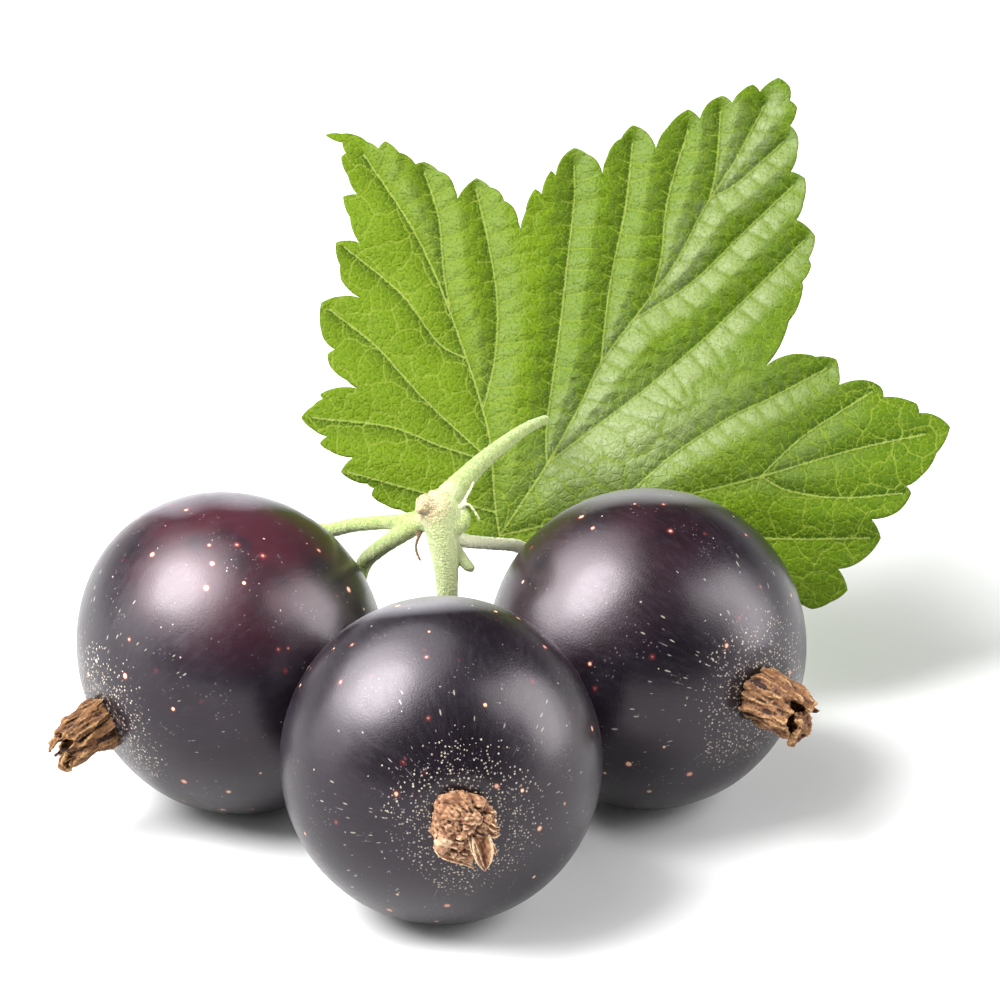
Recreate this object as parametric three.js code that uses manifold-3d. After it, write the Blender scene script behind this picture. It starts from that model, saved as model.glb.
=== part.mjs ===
// A blackcurrant sprig: three ripe berries on short stalks, and one lobed leaf on a stalk that holds it up
// behind them. Millimetres, +Z up. The sprig lies on its berries. The origin is on the surface under the
// front berry, and the leaf stands on the +Y side.
import * as THREE from "three";
import { mergeVertices } from "three/addons/utils/BufferGeometryUtils.js";
import Module from "manifold-3d";

const FLAT_DEPTH = 0.1; // how far a berry's skin is pressed flat where it rests
const GAP = 0.28; // between neighbouring pieces
const DIMPLE_RADIUS = 1.9; // of the hollow at each end of a berry
const BERRY_ROWS = 18; // of faces from the stalk end to the calyx end
const BERRY_COLUMNS = 32;
const CALYX_SIDES = 30;
const SEPALS = 5;
const BLADE_THICKNESS = 0.6;
const BLADE_LEAN = THREE.MathUtils.degToRad(25); // of the blade's drawing plane, back from the vertical
const BLADE_ORIGIN = new THREE.Vector3(4.34, 19.75, 10.55);
const BLADE_STEP = 0.68; // spacing of the blade's surface points
const BLADE_SIDES = { left: -11, right: 18, foot: -7, tip: 17.5 }; // of the sheet that the blade is cut from
const PLEAT_HEIGHT = 0.4; // how far the blade swells between its veins
const PLEAT_WIDTH = 0.9;
const FOLD_HEIGHT = 0.9; // of the low fold in the blade, whose top is at FOLD_X and FOLD_Y
const FOLD_X = 6.6;
const FOLD_Y = 0.8;
const FOLD_WIDTH = 3.8;
const FOLD_LENGTH = 3.6;
const RIB_HEIGHT = 0.35; // how far a main vein stands out under the blade
const RIB_WIDTH = 0.5;

const wasm = await Module();
wasm.setup();

const point = ([x, y, z]) => new THREE.Vector3(x, y, z);

function solid(geometry) {
  const bare = geometry.clone();
  bare.deleteAttribute("normal");
  bare.deleteAttribute("uv");
  const merged = mergeVertices(bare, 1e-4);
  return new wasm.Manifold(
    new wasm.Mesh({
      numProp: 3,
      vertProperties: merged.attributes.position.array,
      triVerts: new Uint32Array(merged.index.array),
    }),
  );
}

function meshOf(name, shape, material) {
  const { vertProperties, triVerts } = shape.getMesh();
  const geometry = new THREE.BufferGeometry();
  geometry.setAttribute("position", new THREE.BufferAttribute(vertProperties, 3));
  geometry.setIndex(new THREE.BufferAttribute(triVerts, 1));
  geometry.computeVertexNormals();
  const mesh = new THREE.Mesh(geometry, material);
  mesh.name = name;
  return mesh;
}

const joined = (shapes) => shapes.reduce((whole, shape) => whole.add(shape));

// A closed round rod along a smooth line through the points. Its radius changes evenly from point to point.
function rod(points, radii, sides = 8, steps = 2 * points.length) {
  const curve = new THREE.CatmullRomCurve3(points.map(point));
  const { normals, binormals } = curve.computeFrenetFrames(steps, false);
  const positions = [];
  const index = [];
  const centres = [];
  for (let i = 0; i <= steps; i++) {
    const t = (i / steps) * (radii.length - 1);
    const k = Math.min(Math.floor(t), radii.length - 2);
    const radius = THREE.MathUtils.lerp(radii[k], radii[k + 1], t - k);
    const centre = curve.getPoint(i / steps);
    centres.push(centre);
    for (let j = 0; j < sides; j++) {
      const angle = (2 * Math.PI * j) / sides;
      const p = centre
        .clone()
        .addScaledVector(normals[i], radius * Math.cos(angle))
        .addScaledVector(binormals[i], radius * Math.sin(angle));
      positions.push(p.x, p.y, p.z);
      if (i < steps) {
        const a = i * sides + j;
        const b = i * sides + ((j + 1) % sides);
        index.push(a, b, a + sides, b, b + sides, a + sides);
      }
    }
  }
  const start = positions.length / 3;
  const end = start + 1;
  positions.push(...centres[0].toArray(), ...centres[steps].toArray());
  for (let j = 0; j < sides; j++) {
    const next = (j + 1) % sides;
    index.push(start, next, j);
    index.push(end, steps * sides + j, steps * sides + next);
  }
  const geometry = new THREE.BufferGeometry();
  geometry.setAttribute("position", new THREE.Float32BufferAttribute(positions, 3));
  geometry.setIndex(index);
  return solid(geometry);
}

// The berries. `radius` is across the axis, `half` along it from the middle to the calyx end, and `shoulder`
// from the middle to the stalk end. `tall` stretches a berry upwards. `calyx` is where its dried flower is.
const berries = {
  front: {
    x: 0,
    y: 0,
    radius: 6.45,
    half: 5.95,
    shoulder: 6.1,
    tall: 1.04,
    calyx: [0.155, -0.987, 0.034],
  },
  left: {
    x: -8.85,
    y: 9.6,
    radius: 6.65,
    half: 6.05,
    shoulder: 6.4,
    tall: 1.02,
    calyx: [-0.83, -0.49, -0.26],
  },
  right: {
    x: 8.54,
    y: 10.17,
    radius: 6.6,
    half: 6.3,
    shoulder: 6.8,
    tall: 1.01,
    calyx: [0.71, -0.706, 0.013],
  },
};
for (const berry of Object.values(berries)) {
  berry.calyx = point(berry.calyx).normalize();
  const tilt = berry.calyx.z;
  const reach = berry.tall * Math.hypot(berry.half * tilt, berry.radius * Math.sqrt(1 - tilt * tilt));
  berry.centre = new THREE.Vector3(berry.x, berry.y, reach - FLAT_DEPTH);
}

// The turn that brings a lathe's axis to a direction.
const LATHE_AXIS = new THREE.Vector3(0, 1, 0);
const turnTo = (direction) => new THREE.Quaternion().setFromUnitVectors(LATHE_AXIS, direction);

// A point on a berry's axis, `distance` beyond its calyx end, or beyond its stalk end if `end` is -1.
function beyond(berry, end, distance) {
  const skin = end > 0 ? berry.half : berry.shoulder;
  const offset = berry.calyx.clone().multiplyScalar(end * (skin + distance));
  offset.z *= berry.tall;
  return offset.add(berry.centre);
}

// Half the berry's section, from the stalk end to the calyx end, with a shallow dimple at each.
function berrySection({ radius, half, shoulder }) {
  const section = [];
  for (let i = 0; i <= BERRY_ROWS; i++) {
    const angle = Math.PI * (i / BERRY_ROWS - 0.5);
    const r = i % BERRY_ROWS ? radius * Math.cos(angle) : 0;
    const dimple = GAP * Math.max(0, 1 - (r / DIMPLE_RADIUS) ** 2);
    const reach = i > BERRY_ROWS / 2 ? half : shoulder;
    section.push(new THREE.Vector2(r, (reach - dimple) * Math.sin(angle)));
  }
  return section;
}

function berryMesh(name, berry, material) {
  const turned = new THREE.LatheGeometry(berrySection(berry), BERRY_COLUMNS);
  turned.applyQuaternion(turnTo(berry.calyx));
  turned.scale(1, 1, berry.tall);
  const block = new THREE.BoxGeometry(4 * berry.radius, 4 * berry.radius, berry.radius);
  block.translate(0, 0, -berry.centre.z - berry.radius / 2);
  const mesh = meshOf(name, solid(turned).subtract(solid(block)), material);
  mesh.position.copy(berry.centre);
  return mesh;
}

// A dried calyx: a short fluted tube of five withered sepals, open at its end. `droop` bends its end down.
function calyxMesh(name, berry, { foot, waist, rim, length, sepal, droop }, material) {
  const section = [
    [0, 0],
    [foot, 0],
    [foot * 0.96, 0.12 * length],
    [waist, 0.42 * length],
    [waist, 0.66 * length],
    [rim, length],
    [rim * 0.6, 0.94 * length],
    [waist * 0.45, 0.7 * length],
    [0, 0.6 * length],
  ].map(([r, y]) => new THREE.Vector2(r, y));
  const tube = new THREE.LatheGeometry(section, CALYX_SIDES);
  const { position } = tube.attributes;
  for (let i = 0; i < position.count; i++) {
    const p = new THREE.Vector3().fromBufferAttribute(position, i);
    const along = p.y / length;
    const around = Math.atan2(p.z, p.x);
    const wave = Math.cos(SEPALS * around + along);
    const r = Math.hypot(p.x, p.z);
    const flute = r > 0.01 ? 1 + 0.2 * along * wave : 1;
    const rise = r > 0.5 * rim ? sepal * along ** 4 * wave : 0;
    position.setXYZ(i, p.x * flute, p.y + rise, p.z * flute);
  }
  tube.applyQuaternion(turnTo(berry.calyx));
  for (let i = 0; i < position.count; i++) {
    const p = new THREE.Vector3().fromBufferAttribute(position, i);
    const along = Math.max(0, p.dot(berry.calyx)) / length;
    position.setZ(i, p.z - droop * along * along);
  }
  const mesh = meshOf(name, solid(tube), material);
  mesh.position.copy(beyond(berry, 1, 0));
  return mesh;
}

const calyxes = {
  front: { foot: 1.15, waist: 1.0, rim: 1.25, length: 1.0, sepal: 0.15, droop: 0.1 },
  left: { foot: 1.15, waist: 0.9, rim: 0.85, length: 2.35, sepal: 0.2, droop: 0.4 },
  right: { foot: 1.2, waist: 0.95, rim: 0.95, length: 2.5, sepal: 0.25, droop: 0.4 },
};

// The green wood: a knuckle where all the stalks meet, three berry stalks, the picked end and the leaf stalk.
// Each stalk's points run from the knuckle out. The front and right berries' stalks end square on the berry's
// axis, and the left one comes in at a slant.
const stalkEnd = (berry) => [beyond(berry, -1, 0.6).toArray(), beyond(berry, -1, 0).toArray()];
const stalks = {
  front: rod(
    [
      [-0.1, 9.7, 14.0],
      [-0.15, 9.35, 13.4],
      [-0.04, 9.1, 12.5],
      [0.12, 8.85, 11.3],
      [0.19, 8.75, 10.2],
      [0.15, 8.7, 9.0],
      [-0.4, 8.2, 7.5],
      ...stalkEnd(berries.front),
    ],
    [0.42, 0.7, 0.66, 0.54, 0.46, 0.42, 0.4, 0.38, 0.4],
    12,
  ),
  left: rod(
    [
      [-0.1, 9.3, 13.1],
      [-0.85, 9.5, 12.7],
      [-1.75, 10.35, 11.7],
      [-2.65, 11.85, 10.35],
      [-3.25, 12.85, 9.25],
      beyond(berries.left, -1, 0.05).toArray(),
    ],
    [0.5, 0.42, 0.37, 0.35, 0.34, 0.34],
  ),
  right: rod(
    [
      [0.1, 9.15, 12.6],
      [0.8, 9.9, 11.7],
      [1.95, 12.0, 10.55],
      [3.2, 14.5, 9.2],
      [3.55, 15.6, 8.0],
      ...stalkEnd(berries.right),
    ],
    [0.42, 0.3, 0.27, 0.28, 0.3, 0.32, 0.38],
  ),
  picked: rod(
    [
      [-0.1, 9.3, 13.1],
      [-1.4, 10.25, 12.4],
      [-2.35, 11.5, 11.75],
      [-3.65, 13.05, 10.9],
      [-4.7, 14.45, 10.0],
      [-5.6, 15.7, 9.35],
    ],
    [0.45, 0.34, 0.3, 0.3, 0.31, 0.34],
  ),
  leaf: rod(
    [
      [-0.1, 9.25, 13.4],
      [0.3, 10.2, 13.55],
      [0.85, 11.7, 13.55],
      [1.6, 13.6, 13.5],
      [2.6, 16.0, 13.3],
      [3.55, 18.4, 12.9],
      [4.28, 20.3, 12.4],
    ],
    [0.66, 0.56, 0.46, 0.38, 0.31, 0.25, 0.22],
  ),
};

// The small parts of the knuckle: the scar of an older leaf, bud scales, a bract and two thin threads.
const trimmings = [
  rod([[-0.4, 9.2, 13.5], [-0.9, 9.0, 13.8]], [0.5, 0.38], 10, 2),
  rod([[0.3, 9.1, 12.4], [0.85, 9.3, 12.9], [0.8, 9.65, 13.35]], [0.4, 0.34, 0.18], 8, 4),
  rod([[0.25, 9.15, 12.3], [0.72, 8.95, 11.55], [1.3, 8.65, 10.95]], [0.2, 0.24, 0.18], 8, 4),
  rod([[0.62, 9.35, 13.2], [0.85, 9.4, 13.6], [1.3, 9.85, 14.35]], [0.16, 0.13, 0.12], 6, 6),
  rod([[-0.7, 9.45, 12.8], [-1.07, 9.1, 11.8], [-0.88, 8.9, 11.2]], [0.16, 0.12, 0.12], 6, 4),
];

// The blade's margin in its drawing plane, X to the right and Y to the tip, round from the notch between the
// left and middle lobes. Each point is a tooth's tip or the notch beside it. The third number is how far the
// edge that leads to the point bulges out.
const margin = {
  middleLobeLeft: [
    [-1.1, 9.7, 0.1], [-0.4, 11.8, 0.1], [-0.3, 11.6, 0], [0.2, 12.6, 0], [0.4, 12.4, 0],
    [1.2, 13.6, 0.1], [2.4, 12.3, 0.3], [3.7, 14.6, 0.3], [4.8, 13.6, 0.2], [6.2, 15.2, 0.1],
    [6.6, 14.8, 0], [7.6, 15.9, 0.1], [8.0, 15.6, 0], [8.9, 16.4, 0.1], [9.2, 16.2, 0], [10.1, 16.7, 0.1],
  ],
  middleLobeRight: [
    [10.5, 15.7, 0.2], [10.8, 15.3, 0], [10.5, 14.6, 0], [10.8, 14.2, 0], [10.6, 12.7, 0.1],
    [11.1, 12.3, 0], [10.6, 10.4, 0.1], [11.5, 9.8, 0.1], [11.2, 8.9, 0.1], [11.3, 8.5, 0],
    [10.9, 7.8, 0], [10.9, 7.4, 0], [9.2, 4.1, 0.2],
  ],
  rightLobe: [
    [10.0, 4.5, 0], [12.4, 4.4, 0.2], [12.4, 3.4, 0.1], [14.2, 3.3, 0.2], [14.3, 2.9, 0],
    [15.7, 2.5, 0.1], [15.8, 2.2, 0], [17.1, 1.5, 0.1], [15.8, -0.5, 0.1], [15.2, -0.8, 0],
    [15.4, -1.2, 0], [13.7, -2.3, 0.2], [14.1, -3.1, 0], [12.0, -4.4, 0.2], [12.7, -5.3, 0],
    [11.3, -6.1, 0.2], [10.4, -5.6, 0],
  ],
  base: [
    [9.3, -6.1, 0.2], [8.1, -5.3, 0.1], [6.7, -5.6, 0.2], [6.0, -4.6, 0.1], [4.4, -5.1, 0.2],
    [3.6, -4.1, 0.1], [2.0, -4.4, 0.2], [1.1, -3.6, 0.1], [-0.4, -3.8, 0.2], [-2.0, -3.1, 0],
    [-3.5, -3.1, 0.1], [-5.4, -2.1, 0.1], [-7.4, -1.3, 0.1],
  ],
  leftLobe: [
    [-7.3, -1.0, 0], [-8.7, -0.3, 0.2], [-8.2, 0.3, 0], [-9.6, 0.9, 0], [-9.3, 1.2, 0],
    [-10.4, 2.0, 0.1], [-9.5, 2.9, 0.1], [-7.7, 3.1, 0.2], [-9.4, 4.6, 0.2], [-9.0, 4.9, 0],
    [-9.6, 6.8, 0.2], [-8.0, 7.1, 0.2], [-8.8, 8.3, 0.1], [-9.0, 9.5, 0.1], [-8.0, 9.6, 0.1],
    [-8.7, 11.5, 0.2], [-8.1, 11.7, 0], [-8.8, 13.2, 0.2], [-8.6, 13.4, 0], [-8.75, 13.85, 0],
    [-9.5, 14.2, 0],
    [-7.2, 13.6, 0.2], [-6.9, 13.9, 0], [-5.6, 12.8, 0.2], [-5.3, 13.0, 0], [-3.8, 11.5, 0.2],
    [-3.0, 12.3, 0.1],
  ],
};

// The main veins, from the foot of the blade out, in the same plane.
const veins = [
  [[-2, -3], [0, 0], [1.4, 2.5], [2.3, 4.3], [4, 6.6], [5.5, 8.6], [6.7, 10.9], [8, 12.9], [9.4, 15.5]],
  [[-2, -3], [-2.2, -1.5], [-2.4, 1], [-2.9, 3], [-3.6, 5.1], [-4.3, 7], [-5, 8.7], [-6, 10.6], [-7.8, 13.3]],
  [[-2, -3], [2.4, -2], [6.2, -1.2], [9, -0.5], [10.7, 0], [13.2, 0.7], [16, 1.3]],
  [[0, 0], [0, 1.7], [0.5, 5.3], [0.9, 8.7], [1.2, 11.4], [1.2, 12.8]],
  [[2.3, 4.3], [2.6, 7], [2.9, 8.7], [3.4, 11.1], [3.7, 13.8]],
  [[4.5, 7.3], [4.9, 8.9], [5.2, 11.4], [6.1, 14.4]],
  [[7, 11.4], [7.3, 12.8], [7.5, 15.2]],
  [[7, 11.4], [8.2, 12.1], [10.2, 13.9]],
  [[3.7, 6.2], [6.1, 7.7], [8.6, 10.1], [10.6, 12]],
  [[0.2, 0.2], [3.9, 3], [6.5, 5.2], [8.4, 7], [11, 9.6]],
  [[2.4, -2], [3.9, -0.8], [5.4, 0.5], [7.7, 2], [9.4, 2.8], [11.9, 4.1]],
  [[9, -0.5], [9.8, 0.3], [11.1, 1.4], [13.8, 3.1]],
  [[9, -0.5], [10.2, -1.1], [12.4, -1.4], [15, -1.2]],
  [[3.9, -1.7], [6.4, -2.7], [9.3, -3.1], [13.6, -3.1]],
  [[-2.3, 0.1], [-4.9, 2.5], [-6.2, 3.9], [-7.3, 5.1], [-9.2, 6.6]],
  [[-2.3, 0.1], [-4.5, 0.8], [-6.6, 1.6], [-9.9, 2]],
  [[-2.2, -2], [-5.1, -1.2], [-8.4, -0.3]],
  [[-3.4, 4.5], [-4.6, 5.2], [-6.2, 7.3], [-8.6, 9.3]],
  [[-4.1, 6.6], [-4.4, 8.4], [-4.6, 10.6], [-5.2, 12.5]],
  [[-2.7, 2.3], [-2.2, 4.5], [-2.1, 7], [-2.5, 9.6], [-3, 11.8]],
];

function distanceToLine([ax, ay], [bx, by], x, y) {
  const dx = bx - ax;
  const dy = by - ay;
  const t = THREE.MathUtils.clamp(((x - ax) * dx + (y - ay) * dy) / (dx * dx + dy * dy), 0, 1);
  return Math.hypot(x - ax - t * dx, y - ay - t * dy);
}

function distanceToVeins(x, y) {
  let least = Infinity;
  for (const vein of veins) {
    for (let i = 1; i < vein.length; i++) {
      least = Math.min(least, distanceToLine(vein[i - 1], vein[i], x, y));
    }
  }
  return least;
}

// How far the blade's two faces lie in front of its drawing plane. The lobes lean back, the foot curls back
// too, and a low fold lies where the right lobe begins. The blade swells between its veins, and the veins
// stand out underneath.
function bladeFaces(x, y) {
  const fromVein = distanceToVeins(x, y);
  const lean = y > 0 ? -0.4 * y : -0.3 * y - 0.06 * y * y;
  const bow = -0.004 * x * x;
  const fromFold = Math.hypot((x - FOLD_X) / FOLD_WIDTH, (y - FOLD_Y) / FOLD_LENGTH);
  const fold = FOLD_HEIGHT * Math.exp(-(fromFold ** 2));
  const pleat = PLEAT_HEIGHT * (1 - Math.exp(-((fromVein / PLEAT_WIDTH) ** 2)));
  const middle = lean + bow + fold + pleat;
  const rib = RIB_HEIGHT * Math.exp(-((fromVein / RIB_WIDTH) ** 2));
  return { upper: middle + BLADE_THICKNESS / 2, lower: middle - BLADE_THICKNESS / 2 - rib };
}

// A sheet that follows the blade's waves, wider than the blade, with the same triangles on both faces.
function bladeSheet() {
  const { left, right, foot, tip } = BLADE_SIDES;
  const columns = Math.round((right - left) / BLADE_STEP);
  const rows = Math.round((tip - foot) / BLADE_STEP);
  const sheet = new THREE.BoxGeometry(right - left, tip - foot, 1, columns, rows, 1);
  const { position } = sheet.attributes;
  for (let i = 0; i < position.count; i++) {
    const x = position.getX(i) + (left + right) / 2;
    const y = position.getY(i) + (foot + tip) / 2;
    const { upper, lower } = bladeFaces(x, y);
    position.setXYZ(i, x, y, position.getZ(i) > 0 ? upper : lower);
  }
  return solid(sheet);
}

function bladeOutline() {
  const points = Object.values(margin).flat();
  const shape = new THREE.Shape();
  shape.moveTo(points[0][0], points[0][1]);
  for (let i = 1; i <= points.length; i++) {
    const [ax, ay] = points[i - 1];
    const [bx, by, bulge] = points[i % points.length];
    const out = (2 * bulge) / Math.hypot(bx - ax, by - ay);
    const cx = (ax + bx) / 2 - out * (by - ay);
    const cy = (ay + by) / 2 + out * (bx - ax);
    if (bulge) shape.quadraticCurveTo(cx, cy, bx, by);
    else shape.lineTo(bx, by);
  }
  const prism = new THREE.ExtrudeGeometry(shape, { depth: 40, bevelEnabled: false, curveSegments: 2 });
  prism.translate(0, 0, -20);
  return solid(prism);
}

const skin = new THREE.MeshStandardMaterial({ color: 0x1d1822, roughness: 0.3, metalness: 0 });
const husk = new THREE.MeshStandardMaterial({ color: 0x8a5f3a, roughness: 0.8, metalness: 0 });
const greenWood = new THREE.MeshStandardMaterial({ color: 0xcfe09a, roughness: 0.7, metalness: 0 });
const leafGreen = new THREE.MeshStandardMaterial({ color: 0x7fa52f, roughness: 0.6, metalness: 0 });

const sprig = new THREE.Group();
for (const [place, berry] of Object.entries(berries)) {
  sprig.add(berryMesh(`berry_${place}`, berry, skin.clone()));
  sprig.add(calyxMesh(`calyx_${place}`, berry, calyxes[place], husk.clone()));
}
sprig.add(meshOf("stem", joined([...Object.values(stalks), ...trimmings]), greenWood));

const leaf = meshOf("leaf", bladeSheet().intersect(bladeOutline()), leafGreen);
leaf.rotation.x = Math.PI / 2 - BLADE_LEAN;
leaf.position.copy(BLADE_ORIGIN);
sprig.add(leaf);

export default sprig;
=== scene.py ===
import math

import bpy
import numpy as np
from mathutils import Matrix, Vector
from mathutils.geometry import delaunay_2d_cdt
from mathutils.kdtree import KDTree


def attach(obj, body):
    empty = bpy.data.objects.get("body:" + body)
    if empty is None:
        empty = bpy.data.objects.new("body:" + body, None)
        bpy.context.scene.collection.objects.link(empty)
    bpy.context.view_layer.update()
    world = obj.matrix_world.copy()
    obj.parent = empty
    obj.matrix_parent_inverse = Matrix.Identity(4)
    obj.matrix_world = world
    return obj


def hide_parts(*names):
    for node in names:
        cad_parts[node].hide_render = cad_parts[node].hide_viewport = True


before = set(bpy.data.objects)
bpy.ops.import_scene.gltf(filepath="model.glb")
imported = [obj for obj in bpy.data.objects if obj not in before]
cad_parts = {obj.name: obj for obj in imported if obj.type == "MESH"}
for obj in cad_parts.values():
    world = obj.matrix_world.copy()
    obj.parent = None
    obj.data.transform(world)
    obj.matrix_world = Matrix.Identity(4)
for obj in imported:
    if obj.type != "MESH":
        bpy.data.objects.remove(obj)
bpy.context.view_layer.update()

bpy.ops.object.select_all(action="DESELECT")


# The camera looks down at the sprig as the photograph does, from the side that the front berry's dried flower
# points to. It is far off, so the berries keep their round outlines.
MM = 0.001
LOOK_DOWN = math.radians(25)
RIGHT = Vector((1, 0, 0))
UP = Vector((0, math.sin(LOOK_DOWN), math.cos(LOOK_DOWN)))
BACK = Vector((0, -math.cos(LOOK_DOWN), math.sin(LOOK_DOWN)))
AIM = Vector((0, 0, 6.6)) + 2.36 * RIGHT + 10.44 * UP
CAMERA_DISTANCE = 300
FRAME_WIDTH = 40
bpy.ops.object.camera_add(location=(AIM + CAMERA_DISTANCE * BACK) * MM,
                          rotation=(math.pi / 2 - LOOK_DOWN, 0, 0))
camera = bpy.context.object
camera.data.sensor_width = 36
camera.data.lens = camera.data.sensor_width * CAMERA_DISTANCE / FRAME_WIDTH
camera.data.clip_start = 0.01
bpy.context.scene.camera = camera


# The floor is a wide sheet of pale card. Soft boxes light the sprig, the main one from the upper left and in
# front. The air of the studio is bright near the horizon, dim overhead and dark on the camera's side.
bpy.ops.mesh.primitive_plane_add(size=4, location=(0, 0, -0.02 * MM))
floor = bpy.context.object
floor.name = "floor"
floor_card = bpy.data.materials.new("floor_card")
floor_card.use_nodes = True
card = floor_card.node_tree.nodes["Principled BSDF"].inputs
card["Base Color"].default_value = (0.78, 0.78, 0.78, 1)
card["Roughness"].default_value = 0.9
card["Specular IOR Level"].default_value = 0.1
floor.data.materials.append(floor_card)

SUBJECT = Vector((0, 8, 8)) * MM


def soft_box(name, direction, distance, width, height, watts, lit=None):
    """A softly glowing disc that faces the sprig. Its direction is right, up and towards the camera. Where lit
    is given, it lights the pieces of that collection only."""
    way = (direction[0] * RIGHT + direction[1] * UP + direction[2] * BACK).normalized()
    bpy.ops.object.light_add(type="AREA", location=SUBJECT + way * distance)
    lamp = bpy.context.object
    lamp.name = name
    lamp.rotation_euler = way.to_track_quat("Z", "Y").to_euler()
    lamp.data.shape = "ELLIPSE"
    lamp.data.size = width
    lamp.data.size_y = height
    lamp.data.energy = watts
    if lit:
        lamp.light_linking.receiver_collection = lit
        lamp.light_linking.blocker_collection = lit


glossy = {}
for place in ("front", "left", "right", "fruit"):
    glossy[place] = bpy.data.collections.new(f"glossy_{place}")
    bpy.context.scene.collection.children.link(glossy[place])
soft_box("key_box", (-0.60, 0.62, 0.51), 0.6, 0.4, 0.46, 8.0)
soft_box("wide_box", (-0.62, 0.58, 0.53), 0.64, 0.84, 0.96, 3.0)
soft_box("side_box", (0.90, 0.37, 0.2), 0.6, 0.34, 0.56, 2.6)
soft_box("fill_box", (0.64, 0.5, 0.55), 0.7, 0.3, 0.36, 1.5)
for place, core, halo in (("front", (-0.67, 0.68, 0.30), (-0.46, 0.84, 0.26)),
                          ("left", (-0.48, 0.73, 0.48), (-0.47, 0.76, 0.45)),
                          ("right", (-0.74, 0.62, 0.25), (-0.66, 0.70, 0.28))):
    soft_box(f"core_{place}", core, 0.62, 0.62, 0.66, 6.6, glossy[place])
    soft_box(f"halo_{place}", halo, 0.64, 0.95, 0.95, 8.4, glossy[place])
soft_box("fruit_wall", (-0.95, 0.18, 0.14), 0.64, 0.45, 0.5, 1.6, glossy["fruit"])
soft_box("fruit_side", (0.93, 0.28, 0.06), 0.7, 0.5, 0.7, 3.6, glossy["fruit"])

world = bpy.data.worlds.new("studio_air")
world.use_nodes = True
air = world.node_tree
heading = air.nodes.new("ShaderNodeSeparateXYZ")
air.links.new(air.nodes.new("ShaderNodeTexCoord").outputs["Generated"], heading.inputs[0])


def studio_fade(direction, start, end, at_start, at_end):
    """The brightness that changes smoothly between two heights, or between two depths, of the room."""
    made = air.nodes.new("ShaderNodeMapRange")
    made.interpolation_type = "SMOOTHSTEP"
    for socket, value in {"From Min": start, "From Max": end, "To Min": at_start, "To Max": at_end}.items():
        made.inputs[socket].default_value = value
    air.links.new(heading.outputs[direction], made.inputs["Value"])
    return made.outputs[0]


dimmed = air.nodes.new("ShaderNodeMath")
dimmed.operation = "MULTIPLY"
air.links.new(studio_fade("Z", 0.08, 0.4, 1.0, 0.1), dimmed.inputs[0])
air.links.new(studio_fade("Y", -0.85, -0.4, 0.08, 1.0), dimmed.inputs[1])
air.links.new(dimmed.outputs[0], air.nodes["Background"].inputs["Strength"])
air.nodes["Background"].inputs["Color"].default_value = (1, 1, 1, 1)
bpy.context.scene.world = world
bpy.context.scene.view_settings.view_transform = "Standard"


# The three berries are ripe fruit, a taut waxy skin over juicy flesh. Each starts as a ball and is shaped to
# its own section, with a dimple at both ends and a flat spot where it rests.
DIMPLE = 0.16
DIMPLE_RADIUS = 1.9
FLAT_DEPTH = 0.1
# Each berry's top back side, which faces this way, is painted paler as a reflection of the bright room along
# the upper rim.
RIM_SHINE_WAY = Vector((-0.1, 0.6, 0.79)).normalized()
BLUSH_FROM, BLUSH_FADE = 0.55, 0.4  # where a blush ends, as a cosine from its middle, and its soft edge
RIM_SHINE_FROM, RIM_SHINE_FADE = 0.76, 0.13  # the same for the painted reflection, a paler patch on each berry's top back side
# The last number of each berry is how strongly its painted rim reflection shows.
BERRIES = {
    "front": {"spot": (0, 0), "radius": 6.45, "half": 5.95, "shoulder": 6.1, "tall": 1.04,
              "calyx": (0.155, -0.987, 0.034), "blush": (0.4, 0.6, 0.7), "blush_size": 0.1,
              "painted_rim_shine": 1.0},
    "left": {"spot": (-8.85, 9.6), "radius": 6.65, "half": 6.05, "shoulder": 6.4, "tall": 1.02,
             "calyx": (-0.83, -0.49, -0.26), "blush": (0.05, -0.3, 0.95), "blush_size": 0.5,
             "painted_rim_shine": 0.5},
    "right": {"spot": (8.54, 10.17), "radius": 6.6, "half": 6.3, "shoulder": 6.8, "tall": 1.01,
              "calyx": (0.71, -0.706, 0.013), "blush": (-0.35, -0.2, 0.9), "blush_size": 0.22,
              "painted_rim_shine": 0.75},
}
for berry in BERRIES.values():
    berry["axis"] = Vector(berry["calyx"]).normalized()
    slant = berry["axis"].z
    reach = berry["tall"] * math.hypot(berry["half"] * slant, berry["radius"] * math.sqrt(1 - slant * slant))
    berry["centre"] = Vector((*berry["spot"], reach - FLAT_DEPTH))


def beyond(berry, end, distance):
    """The point on a berry's axis this far beyond its calyx end, or beyond its stalk end where end is -1."""
    skin = berry["half"] if end > 0 else berry["shoulder"]
    offset = berry["axis"] * end * (skin + distance)
    offset.z *= berry["tall"]
    return berry["centre"] + offset


def vertices_of(mesh):
    co = np.empty(len(mesh.vertices) * 3, np.float32)
    mesh.vertices.foreach_get("co", co)
    return co.reshape(-1, 3).astype(float)


def move_vertices(mesh, co):
    mesh.vertices.foreach_set("co", co.astype(np.float32).ravel())
    mesh.update()


def keep_value(mesh, name, values):
    """Stores one number or one direction for each vertex, for the material to read."""
    kind = "FLOAT" if values.ndim == 1 else "FLOAT_VECTOR"
    field = "value" if values.ndim == 1 else "vector"
    mesh.attributes.new(name, kind, "POINT").data.foreach_set(field, values.astype(np.float32).ravel())


def ripples(co, wavelength, seed, waves=10):
    """A smooth uneven field of about -1 to 1, summed from waves that run in chance directions."""
    chance = np.random.default_rng(seed)
    directions = chance.normal(size=(waves, co.shape[1]))
    directions /= np.linalg.norm(directions, axis=1)[:, None]
    turns = directions * 2 * math.pi / (wavelength * chance.uniform(0.7, 1.4, (waves, 1)))
    return np.sin(co @ turns.T + chance.uniform(0, 2 * math.pi, waves)).sum(axis=1) / math.sqrt(waves)


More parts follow.
